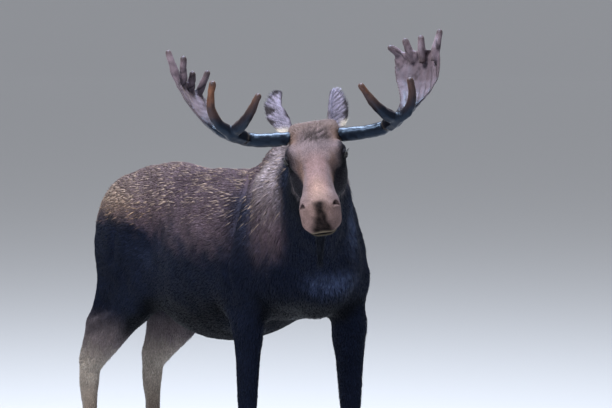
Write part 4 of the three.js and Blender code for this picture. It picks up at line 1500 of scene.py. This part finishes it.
# ------------------------------------------------------------------ hooves
def hooves(leg, horn):
    """The claws and dewclaws of one foot, ringed by growth and flat underneath."""
    nodes = [f"{kind}_{leg}_{side}" for kind in ("claw", "dewclaw") for side in ("inner", "outer")]
    piece = casting("hooves_" + leg, nodes, 2.6)
    remesh(piece, "hoof")
    fair(piece, 0.5, 5)
    points = points_of(piece)
    normals = normals_of(piece)
    height = points[:, 2] * 1000
    wall = ramp(0.7, 0.3, np.abs(normals[:, 2]))
    growth = 0.22 * np.sin(height / 1.7 + 1.5 * waves(points, 0.04, 41)) * wall * ramp(6, 14, height)
    points = pushed(points, normals, growth)
    # the dewclaws lie against the back of the pastern
    f, l, _ = body_terms(points)
    beside = side_of(leg) * LEG_OUT - l
    dew = ramp(88, 96, height)
    points = pushed(points, np.stack([beside * 0.22, -9 + 0 * f, 3 + 0 * f], 1), dew)
    # the wall of the hoof draws in under the hair
    top = ramp(40, 78, height) * (1 - dew)
    drawn = np.stack([beside * 0.16, (f - LEGS[leg][-1][0]) * 0.14, 0 * f], 1)
    points = pushed(points, drawn, top)
    sole = (height < 2.2) & (normals[:, 2] < -0.2)
    points[sole, 2] = 0.0
    points[:, 2] = np.maximum(points[:, 2], 0)
    put_points(piece, points)
    finish_piece(piece, horn, nodes)


horn = horn_material()
for leg in LEGS:
    hooves(leg, horn)


# ------------------------------------------------------------------ floor, light and camera
FLOOR_RADIUS = 40
COVE = 6
WALL_TOP = 16


def studio():
    """A round floor that runs up through a cove into a wall."""
    deselect()
    bpy.ops.mesh.primitive_circle_add(vertices=128, radius=FLOOR_RADIUS, fill_type="NGON")
    floor = bpy.context.active_object
    floor.name = "studio_floor"
    edit_whole(floor, bpy.ops.mesh.inset, thickness=0.0001)
    paper, _, _ = material(
        "studio_paper",
        0.9,
        Base_Color=(0.42, 0.42, 0.43, 1),
        Emission_Color=(0.9, 0.93, 1.0, 1),
        Emission_Strength=0.17,
    )
    bends = np.linspace(0, math.pi / 2, 13)
    radii = np.append(FLOOR_RADIUS + COVE * np.sin(bends), FLOOR_RADIUS + COVE)
    heights = np.append(COVE - COVE * np.cos(bends), WALL_TOP)
    around = np.linspace(0, 2 * math.pi, 96, endpoint=False)
    points = np.empty((len(radii), len(around), 3))
    points[..., 0] = radii[:, None] * np.cos(around)
    points[..., 1] = radii[:, None] * np.sin(around)
    points[..., 2] = heights[:, None]
    faces = [face[::-1] for face in net(len(radii), len(around), closed=False)]
    wall = from_faces("studio_wall", points.reshape(-1, 3), faces)
    for piece in (floor, wall):
        piece.data.materials.append(paper)
    smooth_shade(wall)


def lamp(name, place, aim, size, power, colour):
    data = bpy.data.lights.new(name, "AREA")
    data.shape = "DISK"
    data.size = size
    data.energy = power
    data.color = colour
    made = added(name, data)
    made.location = place
    made.rotation_euler = (Vector(aim) - Vector(place)).to_track_quat("-Z", "Y").to_euler()


def camera():
    data = bpy.data.cameras.new("camera")
    data.lens = 196.6
    data.sensor_width = 36
    data.clip_start = 0.5
    data.clip_end = 300
    aim = Vector(at_body(140, 186, 1487))
    way = Vector((0.5995, 0.7956, -0.0872)).normalized()
    distance = 13.5
    made = added("camera", data)
    made.location = aim - way * distance
    made.rotation_euler = way.to_track_quat("-Z", "Y").to_euler()
    bpy.context.scene.camera = made


studio()
lamp("key", (-5.0, -1.5, 8.5), (0, 0, 1.3), 3.0, 1000, (1.0, 0.98, 0.96))
lamp("overhead", (1.0, 1.5, 8.5), (0, 0, 1.2), 4.0, 1500, (0.76, 0.86, 1.0))
lamp("fill", (-5.0, -12.0, 4.5), (0, 0, 1.2), 5.0, 130, (0.86, 0.92, 1.0))
world = bpy.data.worlds.new("studio")
world.use_nodes = True
sky = world.node_tree.nodes["Background"]
sky.inputs["Color"].default_value = (0.80, 0.84, 0.9, 1)
sky.inputs["Strength"].default_value = 0.30
bpy.context.scene.world = world
bpy.context.scene.view_settings.view_transform = "Standard"
camera()
